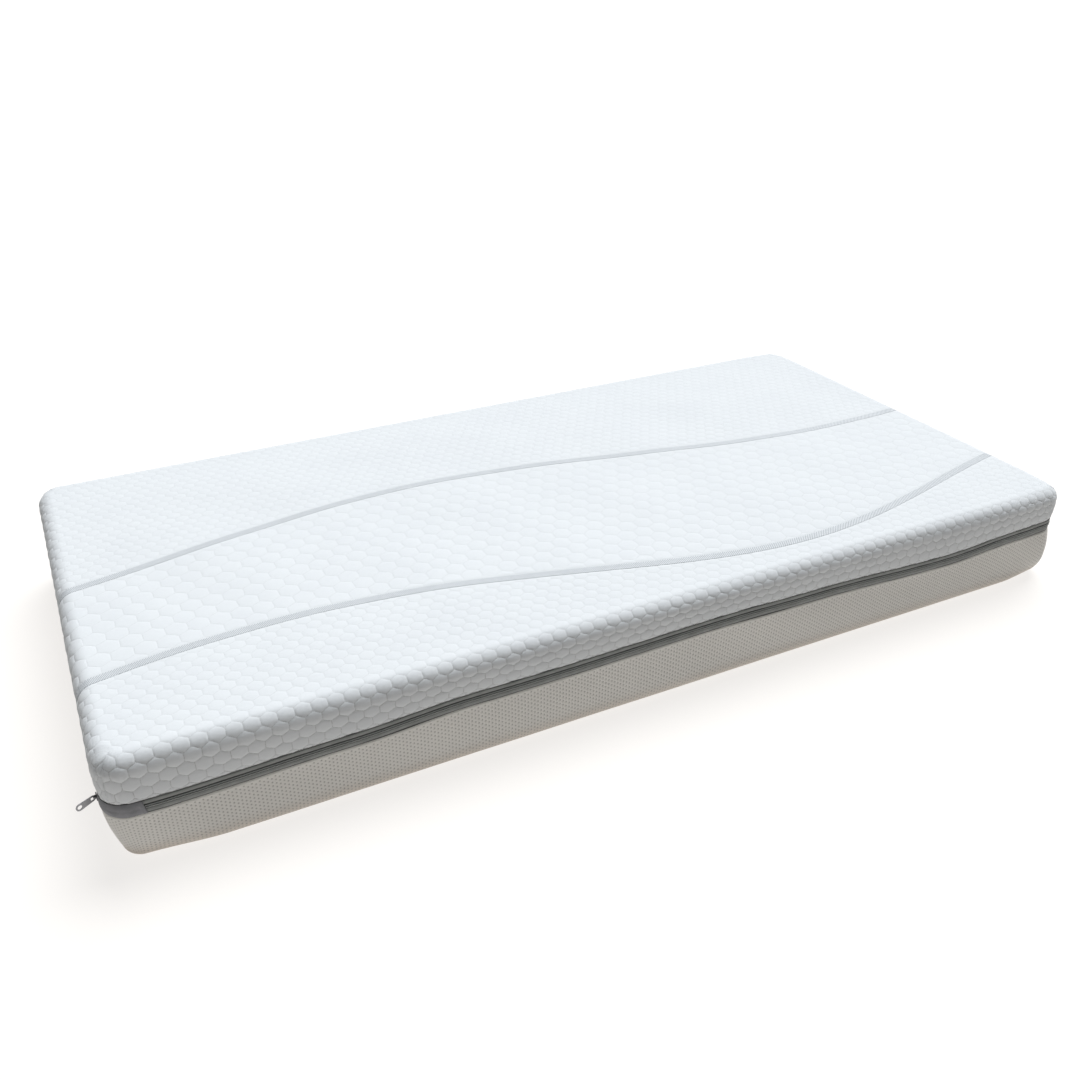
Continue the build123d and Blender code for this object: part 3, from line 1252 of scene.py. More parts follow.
    def raised(
        self,
        u: Array,
        v: Array,
        share: Array,
        height: Array,
        ends: Array,
        faces: Array,
    ) -> Shape:
        """Puffs the cells up and folds them over the mattress.

        Args:
            u: Flat coordinate along the length.
            v: Flat coordinate across the width.
            share: How far each point is from its cell's middle.
            height: Its height as a share of the puff.
            ends: True where it goes with an end skirt.
            faces: The triangles.

        Returns:
            The folded shape.
        """
        folded, outline = self.folded, self.outline
        fold_u, fold_v = np.abs(u) - folded.flat_x, np.abs(v) - folded.flat_y
        fold = np.where((fold_u > 0) & (ends | (fold_v <= 0)), fold_u, np.maximum(fold_v, 0.0))
        to_hem = np.where(fold > 0, folded.skirt - fold, FAR)
        held = np.clip(u, -outline.half_length, outline.half_length)
        to_band = np.full(u.shape, FAR)
        for line in (self.front, self.rear):
            if line is not None:
                tilt = 1.0 / np.sqrt(1.0 + line.slope(held) ** 2)
                to_band = np.minimum(to_band, np.abs(v - line.across(held)) * tilt - self.band_width / 2)
        to_seam = np.full(u.shape, FAR)
        for side in (False, True):
            past = folded.past_corner(u, v, side)
            beside = (np.minimum(fold_u, fold_v) > -self.seam_reach) & (fold > 0)
            beside &= (ends & (fold_u > 0)) == side
            to_seam = np.where(beside, np.minimum(to_seam, np.maximum(-past, 0.0)), to_seam)
        held_down = rounded_rise(to_hem, folded.hem_roll) * rounded_rise(to_band, self.band_roll)
        held_down *= self.corner_hold + (1 - self.corner_hold) * rounded_rise(to_seam, self.corner_roll)
        skirt = eased(fold / folded.edge)
        fuller = self.puff * (1 + self.skirt_puff * skirt)
        lift = self.seam_level + fuller * height * held_down + folded.swell(u, v, fold)
        lift -= self.band_dip * eased(-to_band / self.tuck)
        lift -= self.corner_dip * (1 - rounded_rise(to_seam, self.dip_reach))
        points, normal = folded.place(u, v, lift, ends)
        seam = (1 - share) * self.pitch / 2
        return Shape(points, faces, joined(u, v), {"seam": seam, "skirt": skirt}, normal)

    def make(self, material: bpy.types.Material, nodes: tuple[str, ...] = ()) -> bpy.types.Object:
        """Builds and dresses the panel.

        Args:
            material: The knit.
            nodes: The frame's nodes that it stands for.

        Returns:
            The panel.
        """
        piece = self.shape().build(self.name)
        dress(piece, Body.TOP_COVER, material, nodes)
        return piece


@dataclass(frozen=True)
class WaveBand:
    """A flat woven band let into the quilting, which follows a wavy line over the whole cover."""

    name: str
    outline: Outline
    zip_line: ZipLine
    line: WaveLine
    width: float = 0.019
    step: float = 0.0011
    rib_pitch: float = 0.0046
    rib_slant: float = -1.0
    rib_height: float = 0.0004
    level: float = -0.0004
    rib_lines: int = 13
    selvedge: float = 0.0008
    turned_in: float = 0.0004
    rib_fade: float = 0.0012
    edge_drop: float = 0.0012
    tuck_drop: float = 0.0014
    hidden: float = 0.002

    def make(self, material: bpy.types.Material) -> bpy.types.Object:
        """Builds and dresses the band.

        Args:
            material: The woven finish.

        Returns:
            The band.
        """
        folded = FoldedCloth(self.outline, self.zip_line)
        reach = folded.flat_x + folded.skirt
        places = np.linspace(-reach, reach, int(2 * reach / self.step))
        half = self.width / 2
        ribs = np.linspace(-half + self.selvedge, half - self.selvedge, self.rib_lines)
        edge = np.array([half, half + self.turned_in])
        offsets = np.concatenate([-edge[::-1], ribs, edge])
        along, offset = np.meshgrid(places, offsets, indexing="ij")
        held = np.clip(along, -self.outline.half_length, self.outline.half_length)
        slope = self.line.slope(held) * (np.abs(along) < self.outline.half_length)
        tilt = np.sqrt(1 + slope**2)
        u = along - offset * slope / tilt
        v = self.line.across(held) + offset / tilt
        u = np.clip(u, -reach, reach)
        to_edge = half - np.abs(offset)
        phase = (along + offset * self.rib_slant) / self.rib_pitch
        rib = 0.5 + 0.5 * np.cos(TURN * phase)
        lift = self.level + self.rib_height * rib * eased(to_edge / self.rib_fade)
        lift -= self.edge_drop * (to_edge <= 0) + self.tuck_drop * (to_edge < -self.turned_in / 2)
        fold = np.maximum(np.abs(u) - folded.flat_x, 0.0)
        lift += folded.swell(u, v, fold)
        ends = np.abs(u) > folded.flat_x
        points, normal = folded.place(u, v, lift, ends)
        marks = {"rib": rib, "edge": np.maximum(to_edge, 0.0)}
        shape = Shape(points, grid_faces(*along.shape), joined(along, offset), marks, normal)
        piece = shape.build(self.name)
        dress(piece, Body.TOP_COVER, material)
        return piece


@dataclass(frozen=True)
class CoverLining:
    """The thin backing inside the top cover, seen when the cover is lifted."""

    outline: Outline
    zip_line: ZipLine
    top_wall: float = 0.008
    side_wall: float = 0.0042
    step: float = 0.012
    fold_lines: int = 16
    lip: float = 0.0028
    lip_reach: float = 0.004
    cell_height: float = 0.0006
    cell_size: tuple[float, float] = (0.0374, 0.0648)
    plain_hem: float = 0.01
    thin_reach: float = 1.2
    thin_start: float = 0.3
    cut_share: float = 0.8

    def lines(self, flat: float, reach: float) -> Array:
        """Places of the grid's lines along one coordinate, closer together over the folds.

        Args:
            flat: How far the flat top reaches.
            reach: How far the cloth reaches.

        Returns:
            The places in order.
        """
        inner = np.linspace(-flat, flat, int(2 * flat / self.step))
        fold = np.linspace(flat, reach, self.fold_lines)[1:]
        return np.concatenate([-fold[::-1], inner, fold])

    def make(self, material: bpy.types.Material) -> bpy.types.Object:
        """Builds and dresses the lining, with a narrow lip that closes the skirt's lower edge.

        Args:
            material: The backing cloth.

        Returns:
            The lining.
        """
        folded = FoldedCloth(self.outline, self.zip_line, self.side_wall)
        reach_u, reach_v = folded.flat_x + folded.skirt, folded.flat_y + folded.skirt
        u, v = np.meshgrid(
            self.lines(folded.flat_x, reach_u), self.lines(folded.flat_y, reach_v), indexing="ij"
        )
        faces = grid_faces(*u.shape)
        u, v = u.ravel(), v.ravel()
        faces, ends = folded.parted(u, v, faces)
        u, v = np.tile(u, 2), np.tile(v, 2)
        fold = np.maximum(np.abs(u) - folded.flat_x, np.abs(v) - folded.flat_y)
        thinned = eased(fold / (folded.edge * self.thin_reach) + self.thin_start)
        extra = (self.top_wall - self.side_wall) * (1 - thinned)
        near_hem = eased((fold - folded.skirt + self.lip_reach) / self.lip_reach)
        cell_u, cell_v = self.cell_size
        quilted = self.cell_height * np.sin(TURN * u / cell_u) * np.sin(TURN * v / cell_v)
        lift = -extra + self.lip * near_hem + quilted * (fold < folded.skirt - self.plain_hem)
        points, normal = folded.place(u, v, lift, ends)
        shape = Shape(points, faces, joined(u, v), {}, -normal)
        piece = shape.build("cover_lining")
        dress(piece, Body.TOP_COVER, material, ("cover_backing",))
        return piece


@dataclass(frozen=True)
class SpacerSides:
    """The lower cover's springy side walls, which curve in under the mattress."""

    outline: Outline
    zip_line: ZipLine
    foot_radius: float = 0.026
    zip_taper: float = 0.017
    taper_curve: float = 1.5
    zip_foot: float = 0.02
    zip_fade: float = 0.13
    corner_foot: float = 0.042
    corner_flare: float = 0.007
    flange_inset: float = 0.0612
    step: float = 0.0024
    hole_depth: float = 0.0014
    bulge: float = 0.0012
    rim_tuck: float = 0.0016
    rim_roll: float = 0.005
    past_corner: float = 0.06
    section_steps: int = 24
    sag: Undulation = Undulation(0.0007, 0.22, 23)
    sag_fade: float = 0.03
    plain_edge: float = 0.004
    flange_tuck: float = 0.0014

    def section(self, share: Array, taper: float, foot: float) -> tuple[Array, Array]:
        """One section of the wall, from its rim down and in under the mattress.

        Args:
            share: How far down the section each point is, from 0 to 1.
            taper: How far the wall leans in before its foot.
            foot: The radius of its foot.

        Returns:
            The inset and the height of each point.
        """
        rim = self.outline.rim
        fall = np.linspace(0.0, 1.0, self.section_steps)
        turn = np.linspace(0, RIGHT_ANGLE, self.section_steps)[1:]
        under = taper + foot * (1 - np.cos(turn))
        inset = np.concatenate([taper * fall**self.taper_curve, under, [self.flange_inset]])
        height = np.concatenate([rim - (rim - foot) * fall, foot * (1 - np.sin(turn)), [0.0]])
        lengths = np.concatenate([[0], np.cumsum(np.hypot(np.diff(inset), np.diff(height)))])
        place = share * lengths[-1]
        return np.interp(place, lengths, inset), np.interp(place, lengths, height)

    def profile(self, share: Array, distance: Array) -> tuple[Array, Array]:
        """The wall's changing section: it leans in where the zip closes and is round at corners.

        Args:
            share: How far down the section each point is, from 0 to 1.
            distance: How far along the path it is.

        Returns:
            The inset and the height of each point.
        """
        outline = self.outline
        by_zip = outline.by_zip(distance)
        slack = outline.corner_share(distance, self.zip_fade) * by_zip
        corner = outline.corner_share(distance) * ~by_zip
        straight = 1 - slack - corner
        total_inset, total_height = 0.0, 0.0
        for weight, taper, foot in (
            (straight, 0.0, self.foot_radius),
            (slack, self.zip_taper, self.zip_foot),
            (corner, 0.0, self.corner_foot),
        ):
            inset, height = self.section(share, taper, foot)
            total_inset, total_height = total_inset + weight * inset, total_height + weight * height
        swollen = np.sin(math.pi * np.clip(1 - total_height / outline.rim, 0, 1))
        return total_inset - (self.bulge * straight + self.corner_flare * corner) * swollen, total_height

    @property
    def depth(self) -> float:
        """The section's length along the straight walls."""
        straight = self.outline.rim - self.foot_radius
        return straight + self.foot_radius * RIGHT_ANGLE + self.flange_inset - self.foot_radius

    def panel(self, start: float, end: float) -> Shape:
        """A stretch of the wall, with its lattice of small holes.

        Args:
            start: Where it starts along the path.
            end: Where it ends.

        Returns:
            Its shape, with marks for the holes.
        """
        column_step = self.step * math.sqrt(3) / 2
        first, last = round(start / column_step), round(end / column_step)
        columns = np.arange(first, last + 1)
        rows = np.arange(-1, round(self.depth / self.step) + 2)
        column, row = np.meshgrid(columns, rows, indexing="ij")
        distance = column * column_step
        down = (row + 0.5 * (column % 2)) * self.step
        steep = row - (column - column % 2) // 2
        is_hole = (column % 3 == 0) & (steep % 3 == 0)
        down = np.clip(down, 0.0, self.depth)
        distance = np.clip(distance, start, end)
        inset, height = self.profile(down / self.depth, distance)
        rim = self.outline.rim
        inset += self.rim_tuck * (1 - rounded_rise(down, self.rim_roll))
        inset -= self.sag.at(distance, height * 2) * np.clip(height / self.sag_fade, 0, 1)
        on_wall = (down > self.plain_edge) & (down < self.depth - self.plain_edge)
        hole = np.where(is_hole & on_wall, 1.0, 0.0)
        tucked = eased((down - self.depth + self.plain_edge) / self.plain_edge) * self.flange_tuck
        height = height + self.zip_line.rise(distance) * eased(height / rim) + tucked
        under = eased((down - (rim - self.foot_radius)) / (self.foot_radius * RIGHT_ANGLE))
        inset = inset + self.hole_depth * hole * (1 - under)
        height = height + self.hole_depth * hole * under
        x, y, out_x, out_y = self.outline.at(distance, inset)
        outward = joined(out_x * (1 - under), out_y * (1 - under), -under)
        corners = grid_faces(*distance.shape).reshape(len(columns) - 1, len(rows) - 1, 4)
        here, beyond, beyond_below, below = (corners[..., k] for k in range(4))
        odd = (columns[:-1] % 2 == 1)[:, None, None]
        upper = np.where(odd, joined(here, beyond_below, below), joined(here, beyond, below))
        lower = np.where(odd, joined(here, beyond, beyond_below), joined(below, beyond, beyond_below))
        faces = np.concatenate([upper.reshape(-1, 3), lower.reshape(-1, 3)])
        return Shape(joined(x, y, height), faces, joined(distance, down), {"hole": hole}, outward)

    def make(self, material: bpy.types.Material) -> list[bpy.types.Object]:
        """Builds and dresses the four stretches of wall.

        Args:
            material: The spacer mesh.

        Returns:
            The stretches, in order from the zip end's corner.
        """
        quarter, arc = self.outline.quarter, self.outline.arc_y
        near = arc - self.past_corner
        spans = {
            "side_mesh_front": (near, 2 * quarter - near),
            "side_mesh_foot": (2 * quarter - near, 2 * quarter + near),
            "side_mesh_rear": (2 * quarter + near, 4 * quarter - near),
            "side_mesh_head": (4 * quarter - near, 4 * quarter + near),
        }
        made = []
        for name, (start, end) in spans.items():
            piece = self.panel(start, end).build(name)
            nodes = ("lower_cover_mesh",) if not made else ()
            dress(piece, Body.MATTRESS, material, nodes)
            made.append(piece)
        return made


@dataclass(frozen=True)
class UndersidePanel:
    """The plain cloth panel under the mattress, sewn into the side walls."""

    low: Vector
    high: Vector
    step: float = 0.012
    corner_radius: float = 0.045
    edge_curl: float = 0.0012
    curl_reach: float = 0.005
    edge_lines: tuple[float, ...] = (0.0, 0.001, 0.0025, 0.0045)
    first_line: float = 0.0065
    slack: Undulation = Undulation(0.0005, 0.16, 31)
    slack_fade: float = 0.05

    def lines(self, reach: float) -> Array:
        """Places of the grid's lines along one side, closer together at the edges.

        Args:
            reach: How far the panel reaches from its middle.

        Returns:
            The places in order.
        """
        edge = np.array(self.edge_lines)
        inner = np.linspace(-reach + self.first_line, reach - self.first_line, int(2 * reach / self.step))
        return np.concatenate([-reach + edge, inner, (reach - edge)[::-1]])

    def make(self, material: bpy.types.Material) -> bpy.types.Object:
        """Builds and dresses the panel, whose edge curls up into its seam.

        Args:
            material: The base cloth.

        Returns:
            The panel.
        """
        reach_x, reach_y = self.high.x, self.high.y
        u, v = np.meshgrid(self.lines(reach_x), self.lines(reach_y), indexing="ij")
        centre_x, centre_y = reach_x - self.corner_radius, reach_y - self.corner_radius
        x, y = warped_corner(np.abs(u), np.abs(v), np.abs(u) - centre_x, np.abs(v) - centre_y)
        x, y = x * np.sign(u), y * np.sign(v)
        to_edge = np.minimum(reach_x - np.abs(u), reach_y - np.abs(v))
        height = self.edge_curl * (1 - rounded_rise(to_edge, self.curl_reach))
        height = height + np.abs(self.slack.at(u, v)) * eased(to_edge / self.slack_fade)
        outward = np.tile([0.0, 0.0, -1.0], (u.size, 1))
        shape = Shape(joined(x, y, height), grid_faces(*u.shape), joined(u, v), {}, outward)
        piece = shape.build("underside_cloth")
        dress(piece, Body.MATTRESS, material, ("underside_panel",))
        return piece


@dataclass(frozen=True)
class ZipChain:
    """The zip round the walls: two woven tapes, two rows of coil and the end tab."""

    outline: Outline
    zip_line: ZipLine
    tape_width: float = 0.0175
    tape_inset: float = 0.0015
    coil_gap: float = 0.0012
    coil_width: float = 0.0025
    coil_face: float = -0.0008
    tooth_pitch: float = 0.002
    chain_start: float = 0.058
    chain_end: float = 0.452
    tab_height: float = 0.025
    tape_steps: int = 1500
    tape_profile: tuple[tuple[float, float], ...] = (
        (0.0010, 0.0016),
        (0.0022, 0.0017),
        (0.0036, 0.0017),
        (0.0044, 0.0012),
        (0.0060, 0.0006),
        (0.0080, 0.0004),
        (0.0100, 0.0006),
        (0.0118, 0.0011),
        (0.0130, 0.0016),
        (0.0185, 0.0018),
    )
    tape_thickness: float = 0.0007
    tape_back: float = 0.0024
    ripple: Undulation = Undulation(0.00015, 0.05, 41)
    coil_furrow_shade: tuple[float, float] = (0.0037, 0.0012)
    seam_furrow_shade: tuple[float, float] = (0.0105, 0.002)
    tooth_steps: tuple[float, ...] = (0.55, 0.86, 1.0, 0.86)
    tooth_squeeze: float = 0.7
    tooth_lines: int = 7
    tab_lines: tuple[float, ...] = (0.06, 0.2, 0.45, 0.7, 0.9, 0.97, 1.0)
    tab_columns: int = 60
    tab_start: float = 0.002
    tab_bow: float = 0.0017
    tab_slant: float = 0.0045
    tab_fold: float = 0.0009
    tab_fold_reach: float = 0.0075
    tab_fold_edge: float = 0.0008
    tab_crease: float = 0.0005
    tab_crease_width: float = 0.0012
    tab_thickness: float = 0.0008
    tab_inset: float = 0.0006
    tab_slack: Undulation = Undulation(0.0003, 0.03, 47)

    @property
    def chain_begin(self) -> float:
        """Where the open chain begins along the path, past the end tab."""
        outline = self.outline
        return outline.arc_y + outline.corner_length + self.chain_start - outline.corner_radius

    def section(
        self, distance: Array, inset: Array, height: Array
    ) -> tuple[Array, Array]:
        """Puts a strip's section all along a stretch of the path.

        Args:
            distance: Places along the path.
            inset: The section's insets, or one row of them for each place.
            height: The section's heights over the zip's level, likewise.

        Returns:
            The points, and their outward directions.
        """
        along, inset = np.broadcast_arrays(distance[:, None], inset)
        along, height = np.broadcast_arrays(along, height)
        x, y, out_x, out_y = self.outline.at(along, inset)
        z = self.outline.zip_height + height + self.zip_line.rise(along)
        return joined(x, y, z), joined(out_x, out_y, np.zeros_like(out_x))

    def tape(self, row: Row, material: bpy.types.Material) -> bpy.types.Object:
        """A woven tape, rolled a little outwards between its coil and its seam.

        Args:
            row: Which half of the zip it is.
            material: The woven finish.

        Returns:
            The tape.
        """
        distance = np.linspace(0.0, 4 * self.outline.quarter, self.tape_steps + 1)[:-1]
        reach, face = np.array(self.tape_profile).T
        inset = np.concatenate([face, [face[-1] + self.tape_thickness, self.tape_back, face[0]]])
        height = np.concatenate([reach, [reach[-1], reach[0], reach[0]]]) * row.value
        ripple = self.ripple.at(distance[:, None], height[None, :] * 4)
        points, outward = self.section(distance, inset[None, :] + ripple, height[None, :])
        faces = grid_faces(len(distance), len(inset), closed=True)
        # Painted shade for the tape: the furrow mark is 1 beside the coil and along the sewn outer edge,
        # where shadow falls, and 0 between.
        furrow_shade = np.ones(len(height))
        for sign, (place, width) in ((-1, self.coil_furrow_shade), (1, self.seam_furrow_shade)):
            furrow_shade += sign * eased((np.abs(height) - place) / width)
        marks = {"furrow_shade": np.broadcast_to(furrow_shade, points.shape[:2])}
        shape = Shape(points, faces, joined(distance[:, None], height[None, :]), marks, outward)
        piece = shape.build(f"{row.word}_tape")
        return dress(piece, row.body, material, (f"{row.word}_zip_tape",))

    def coil(self, row: Row, material: bpy.types.Material) -> bpy.types.Object:
        """A row of coil teeth along the tape's edge.

        Args:
            row: Which half of the zip it is.
            material: The nylon finish.

        Returns:
            The row.
        """
        start, end = self.chain_begin, 4 * self.outline.quarter + self.chain_end
        steps = len(self.tooth_steps)
        teeth = int((end - start) / self.tooth_pitch)
        number = np.arange(steps * teeth + 1)
        distance = start + (end - start) * number / (steps * teeth)
        shift = 0 if row is Row.UPPER else steps // 2
        fullness = np.array(self.tooth_steps)[(number + shift) % steps][:, None]
        turn = np.linspace(-RIGHT_ANGLE, RIGHT_ANGLE, self.tooth_lines)[None, :]
        depth = self.tape_inset - self.coil_face
        inset = self.tape_inset - depth * np.cos(turn) * fullness
        middle = self.coil_gap / 2 + self.coil_width / 2
        squeezed = self.tooth_squeeze + (1 - self.tooth_squeeze) * fullness
        height = (middle + self.coil_width / 2 * np.sin(turn) * squeezed) * row.value
        points, outward = self.section(distance, inset, height)
        cloth = joined(distance[:, None], turn * self.coil_width / 2)
        least = min(self.tooth_steps)
        # Painted shade: the tooth mark falls to 0 in the gaps between teeth and towards the row's edges,
        # where the coil curves back into the tape.
        tooth = (fullness - least) / (1 - least) * np.cos(turn) ** 0.5
        shape = Shape(points, grid_faces(*points.shape[:2]), cloth, {"tooth": tooth}, outward)
        piece = shape.build(f"{row.word}_coil")
        return dress(piece, row.body, material, (f"{row.word}_zip_coil",))

    def end_tab(self, material: bpy.types.Material) -> bpy.types.Object:
        """The cloth tab that wraps the zip's end round the corner, with a slanting folded end.

        Args:
            material: The tab's cloth.

        Returns:
            The tab.
        """
        outline = self.outline
        start, end = outline.arc_y - self.tab_start, self.chain_begin
        half = self.tab_height / 2
        upwards = np.array(self.tab_lines)
        height = (half * np.concatenate([-upwards[::-1], upwards]))[None, :]
        off_middle = np.abs(height / half)
        share = np.linspace(0.0, 1.0, self.tab_columns)[:, None]
        slant = self.tab_slant * (0.5 - height / (2 * half))
        distance = start + (end - start + slant) * share
        fold = self.tab_fold * eased((distance - (end + slant) + self.tab_fold_reach) / self.tab_fold_edge)
        crease = self.tab_crease * np.exp(-((height / self.tab_crease_width) ** 2))
        soft = self.tab_slack.at(distance, height) * (1 - off_middle)
        inset = self.tab_inset - self.tab_bow * (1 - off_middle**3) - fold + crease + soft
        x, y, out_x, out_y = outline.at(distance, inset)
        z = outline.zip_height + height + self.zip_line.rise(distance)
        back_x, back_y, _, _ = outline.at(distance, inset + self.tab_thickness + fold)
        front, back = joined(x, y, z), joined(back_x, back_y, z)
        points = np.concatenate([front, back[:, ::-1], front[:, :1]], axis=1)
        outward = joined(out_x, out_y, 0 * out_x)
        outward = np.concatenate([outward, -outward[:, ::-1], outward[:, :1]], axis=1)
        rows, columns = points.shape[:2]
        count = height.size
        close = np.arange(count - 1)
        first = joined(close, close + 1, 2 * count - 2 - close, 2 * count - 1 - close)
        final = first[:, ::-1] + (rows - 1) * columns
        faces = np.concatenate([grid_faces(rows, columns), first, final])
        cloth = joined(distance, height)
        cloth = np.concatenate([cloth, cloth[:, ::-1], cloth[:, :1]], axis=1)
        shape = Shape(points, faces, cloth, {}, outward)
        piece = shape.build("end_tab")
        return dress(piece, Body.MATTRESS, material, ("zip_end_tab",))

    def make(self) -> None:
        """Builds both tapes, both rows of coil and the end tab."""
        tape = WovenFinish(
            "zip_tape_weave", colour(150, 152, 149), colour(122, 124, 121), 0.0009, furrow_shade=colour(62, 64, 62)
        )
        tape_material = tape.material()
        coil_material = CoilFinish().material()
        for row in Row:
            self.tape(row, tape_material)
            self.coil(row, coil_material)
        tab = WovenFinish("end_tab_weave", colour(138, 138, 141), colour(112, 112, 115), 0.0008)
        self.end_tab(tab.material())


@dataclass(frozen=True)
class CutCells:
    """Straight cuts both ways in a foam's top, which leave a field of square cells."""

    low_x: float
    high_x: float
    reach_y: float
    pitch: float
    depth: float = 0.038
    width: float = 0.004
    shoulder: float = 0.005
    shoulder_lines: tuple[float, ...] = (0.0, 0.0007, 0.002)
    shoulder_share: float = 0.14

    @property
    def span_x(self) -> tuple[float, float]:
        """The first and last cut along the length."""
        return self.low_x, self.high_x

    @property
    def span_y(self) -> tuple[float, float]:
        """The first and last cut across the width."""
        return -self.reach_y, self.reach_y

    def centres(self, low: float, high: float) -> Array:
        """Where the cuts are along one side."""
        return np.linspace(low, high, round((high - low) / self.pitch) + 1)

    def lines(self, low: float, high: float) -> Array:
        """The grid lines that a cut needs, for all cuts along one side.

        Args:
            low: Where the first cut is.
            high: Where the last cut is.

        Returns:
            The places, cut by cut.
        """
        half = self.width / 2
        near = half + np.array([*self.shoulder_lines, self.shoulder])
        offsets = np.concatenate([-near[::-1], [0.0], near])
        return (self.centres(low, high)[:, None] + offsets).ravel()

    def openness(self, place: Array, low: float, high: float) -> Array:
        """How deep the nearest cut is at each place, from 0 on a cell to 1 in a cut.

        Args:
            place: The places along one side.
            low: Where the first cut is.
            high: Where the last cut is.

        Returns:
            The share of the cuts' depth at each place.
        """
        distance = np.abs(place[..., None] - self.centres(low, high)).min(axis=-1)
        wall = distance <= self.width / 2 + SNAP
        lip = self.shoulder_share * (1 - rounded_rise(distance - self.width / 2, self.shoulder))
        return np.where(wall, 1.0, lip)

    def cut(self, x: Array, y: Array) -> Array:
        """How far below the foam's top each point is.

        Args:
            x: Place along the length.
            y: Place across the width.

        Returns:
            The depth at each point.
        """
        past = self.width / 2 + SNAP
        held = np.abs(y) <= self.reach_y + past
        between = (x >= self.low_x - past) & (x <= self.high_x + past)
        across = self.openness(x, *self.span_x) * held
        along = self.openness(y, *self.span_y) * between
        return self.depth * np.maximum(across, along)


@dataclass(frozen=True)
class FoamBlock:
    """A slab of the foam core: soft edges, corners rounded to fit the cover, and any cuts."""

    name: str
    node: str
    slot: str
    finish: FoamFinish
    outline: Outline
    core_x: float
    core_y: float
    core_radius: float = 0.04
    cells: CutCells | None = None
    step: float = 0.025
    edge: float = 0.004
    foot: float = 0.0
    shoulder: float = 0.0
    settle: float = 0.0004
    settle_length: float = 0.2
    settle_fade: float = 0.02
    corner_fade: float = 0.28
    corner_pull: float = 0.024
    lean_curve: float = 1.2
    least_depth: float = 0.012
    edge_lines: tuple[float, ...] = (0.0, 0.3, 1.0, 2.4, 4.0)
    curve_lines: tuple[float, ...] = (0.05, 0.15, 0.3, 0.5, 0.75, 1.05, 2.0, 3.2)

    def lines(self, low: float, high: float) -> Array:
        """Places of the grid's lines along one side, closer together at the edges.

        Args:
            low: Where the side starts.
            high: Where it ends.

        Returns:
            The places, in no order.
        """
        edge = np.array(self.edge_lines) * self.edge
        curve = np.array(self.curve_lines) * max(self.foot, self.shoulder)
        ends = np.concatenate([edge, curve])
        inner = np.linspace(low, high, max(int((high - low) / self.step), 2))
        return np.concatenate([low + ends, high - ends, inner])

    def grid(self, low: float, high: float, cuts: tuple[float, float] | None) -> Array:
        """The grid's lines along one side, with those that the cuts need.

        Args:
            low: Where the side starts.
            high: Where it ends.
            cuts: The first and last cut along it, if it has any.

        Returns:
            The places in order, each once.
        """
        lines = self.lines(low, high)
        if cuts is not None:
            lines = np.concatenate([lines, self.cells.lines(*cuts)])
        lines = np.unique(np.round(lines, 5))
        return lines[(lines >= low - SNAP) & (lines <= high + SNAP)]

    def make(self) -> bpy.types.Object:
        """Builds and dresses the block.

        Returns:
            The block.
        """
        low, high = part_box(self.node)
        cells = self.cells
        cuts_x, cuts_y = (None, None) if cells is None else (cells.span_x, cells.span_y)
        lines_x, lines_y = self.grid(low.x, high.x, cuts_x), self.grid(low.y, high.y, cuts_y)
        u, v = np.meshgrid(lines_x, lines_y, indexing="ij")
        centre_x, centre_y = self.core_x - self.core_radius, self.core_y - self.core_radius
        x, y = warped_corner(np.abs(u), np.abs(v), np.abs(u) - centre_x, np.abs(v) - centre_y)
        to_corner = np.hypot(self.core_x - np.abs(u), self.core_y - np.abs(v))
        pull = self.corner_pull * eased(1 - to_corner / self.corner_fade)
        to_edge = np.minimum(np.minimum(u - low.x, high.x - u), np.minimum(v - low.y, high.y - v))
        top = high.z - self.edge * (1 - rounded_rise(to_edge, self.edge))
        if self.shoulder:
            to_wall = np.maximum(np.minimum(self.core_x - np.abs(u), self.core_y - np.abs(v)), 0.0)
            top = np.minimum(top, high.z - self.shoulder * (1 - rounded_rise(to_wall, self.shoulder)))
        settled = np.abs(Undulation(self.settle, self.settle_length, 53).at(u, v))
        top -= settled * eased(to_edge / self.settle_fade)
        if cells is not None:
            top -= cells.cut(u, v)
        curl = max(self.foot, self.edge)
        bottom = low.z + curl * (1 - rounded_rise(to_edge, curl))
        middle = (low.z + high.z) / 2
        top, bottom = np.maximum(top, middle - self.least_depth), np.minimum(bottom, middle)
        skins = []
        for height in (top, bottom):
            lean = pull * np.clip(1 - height / self.outline.rim, 0.0, 1.0) ** self.lean_curve
            place = self.outline.softened((x - lean) * np.sign(u), (y - lean) * np.sign(v))
            skins.append(joined(*place, height))
        number = np.arange(u.size).reshape(u.shape)
        rim = np.concatenate([number[:-1, 0], number[-1, :-1], number[:0:-1, -1], number[0, :0:-1]])
        after = np.roll(rim, -1)
        walls = joined(rim, rim + u.size, after + u.size, after)
        faces = grid_faces(*u.shape)
        faces = np.concatenate([faces, faces[:, ::-1] + u.size, walls])
        cloth = joined(u, v)
        piece = Shape(np.concatenate(skins), faces, np.concatenate([cloth, cloth]), {}).build(self.name)
        dress(piece, Body.MATTRESS, self.finish.material(), (self.node,))
        return piece


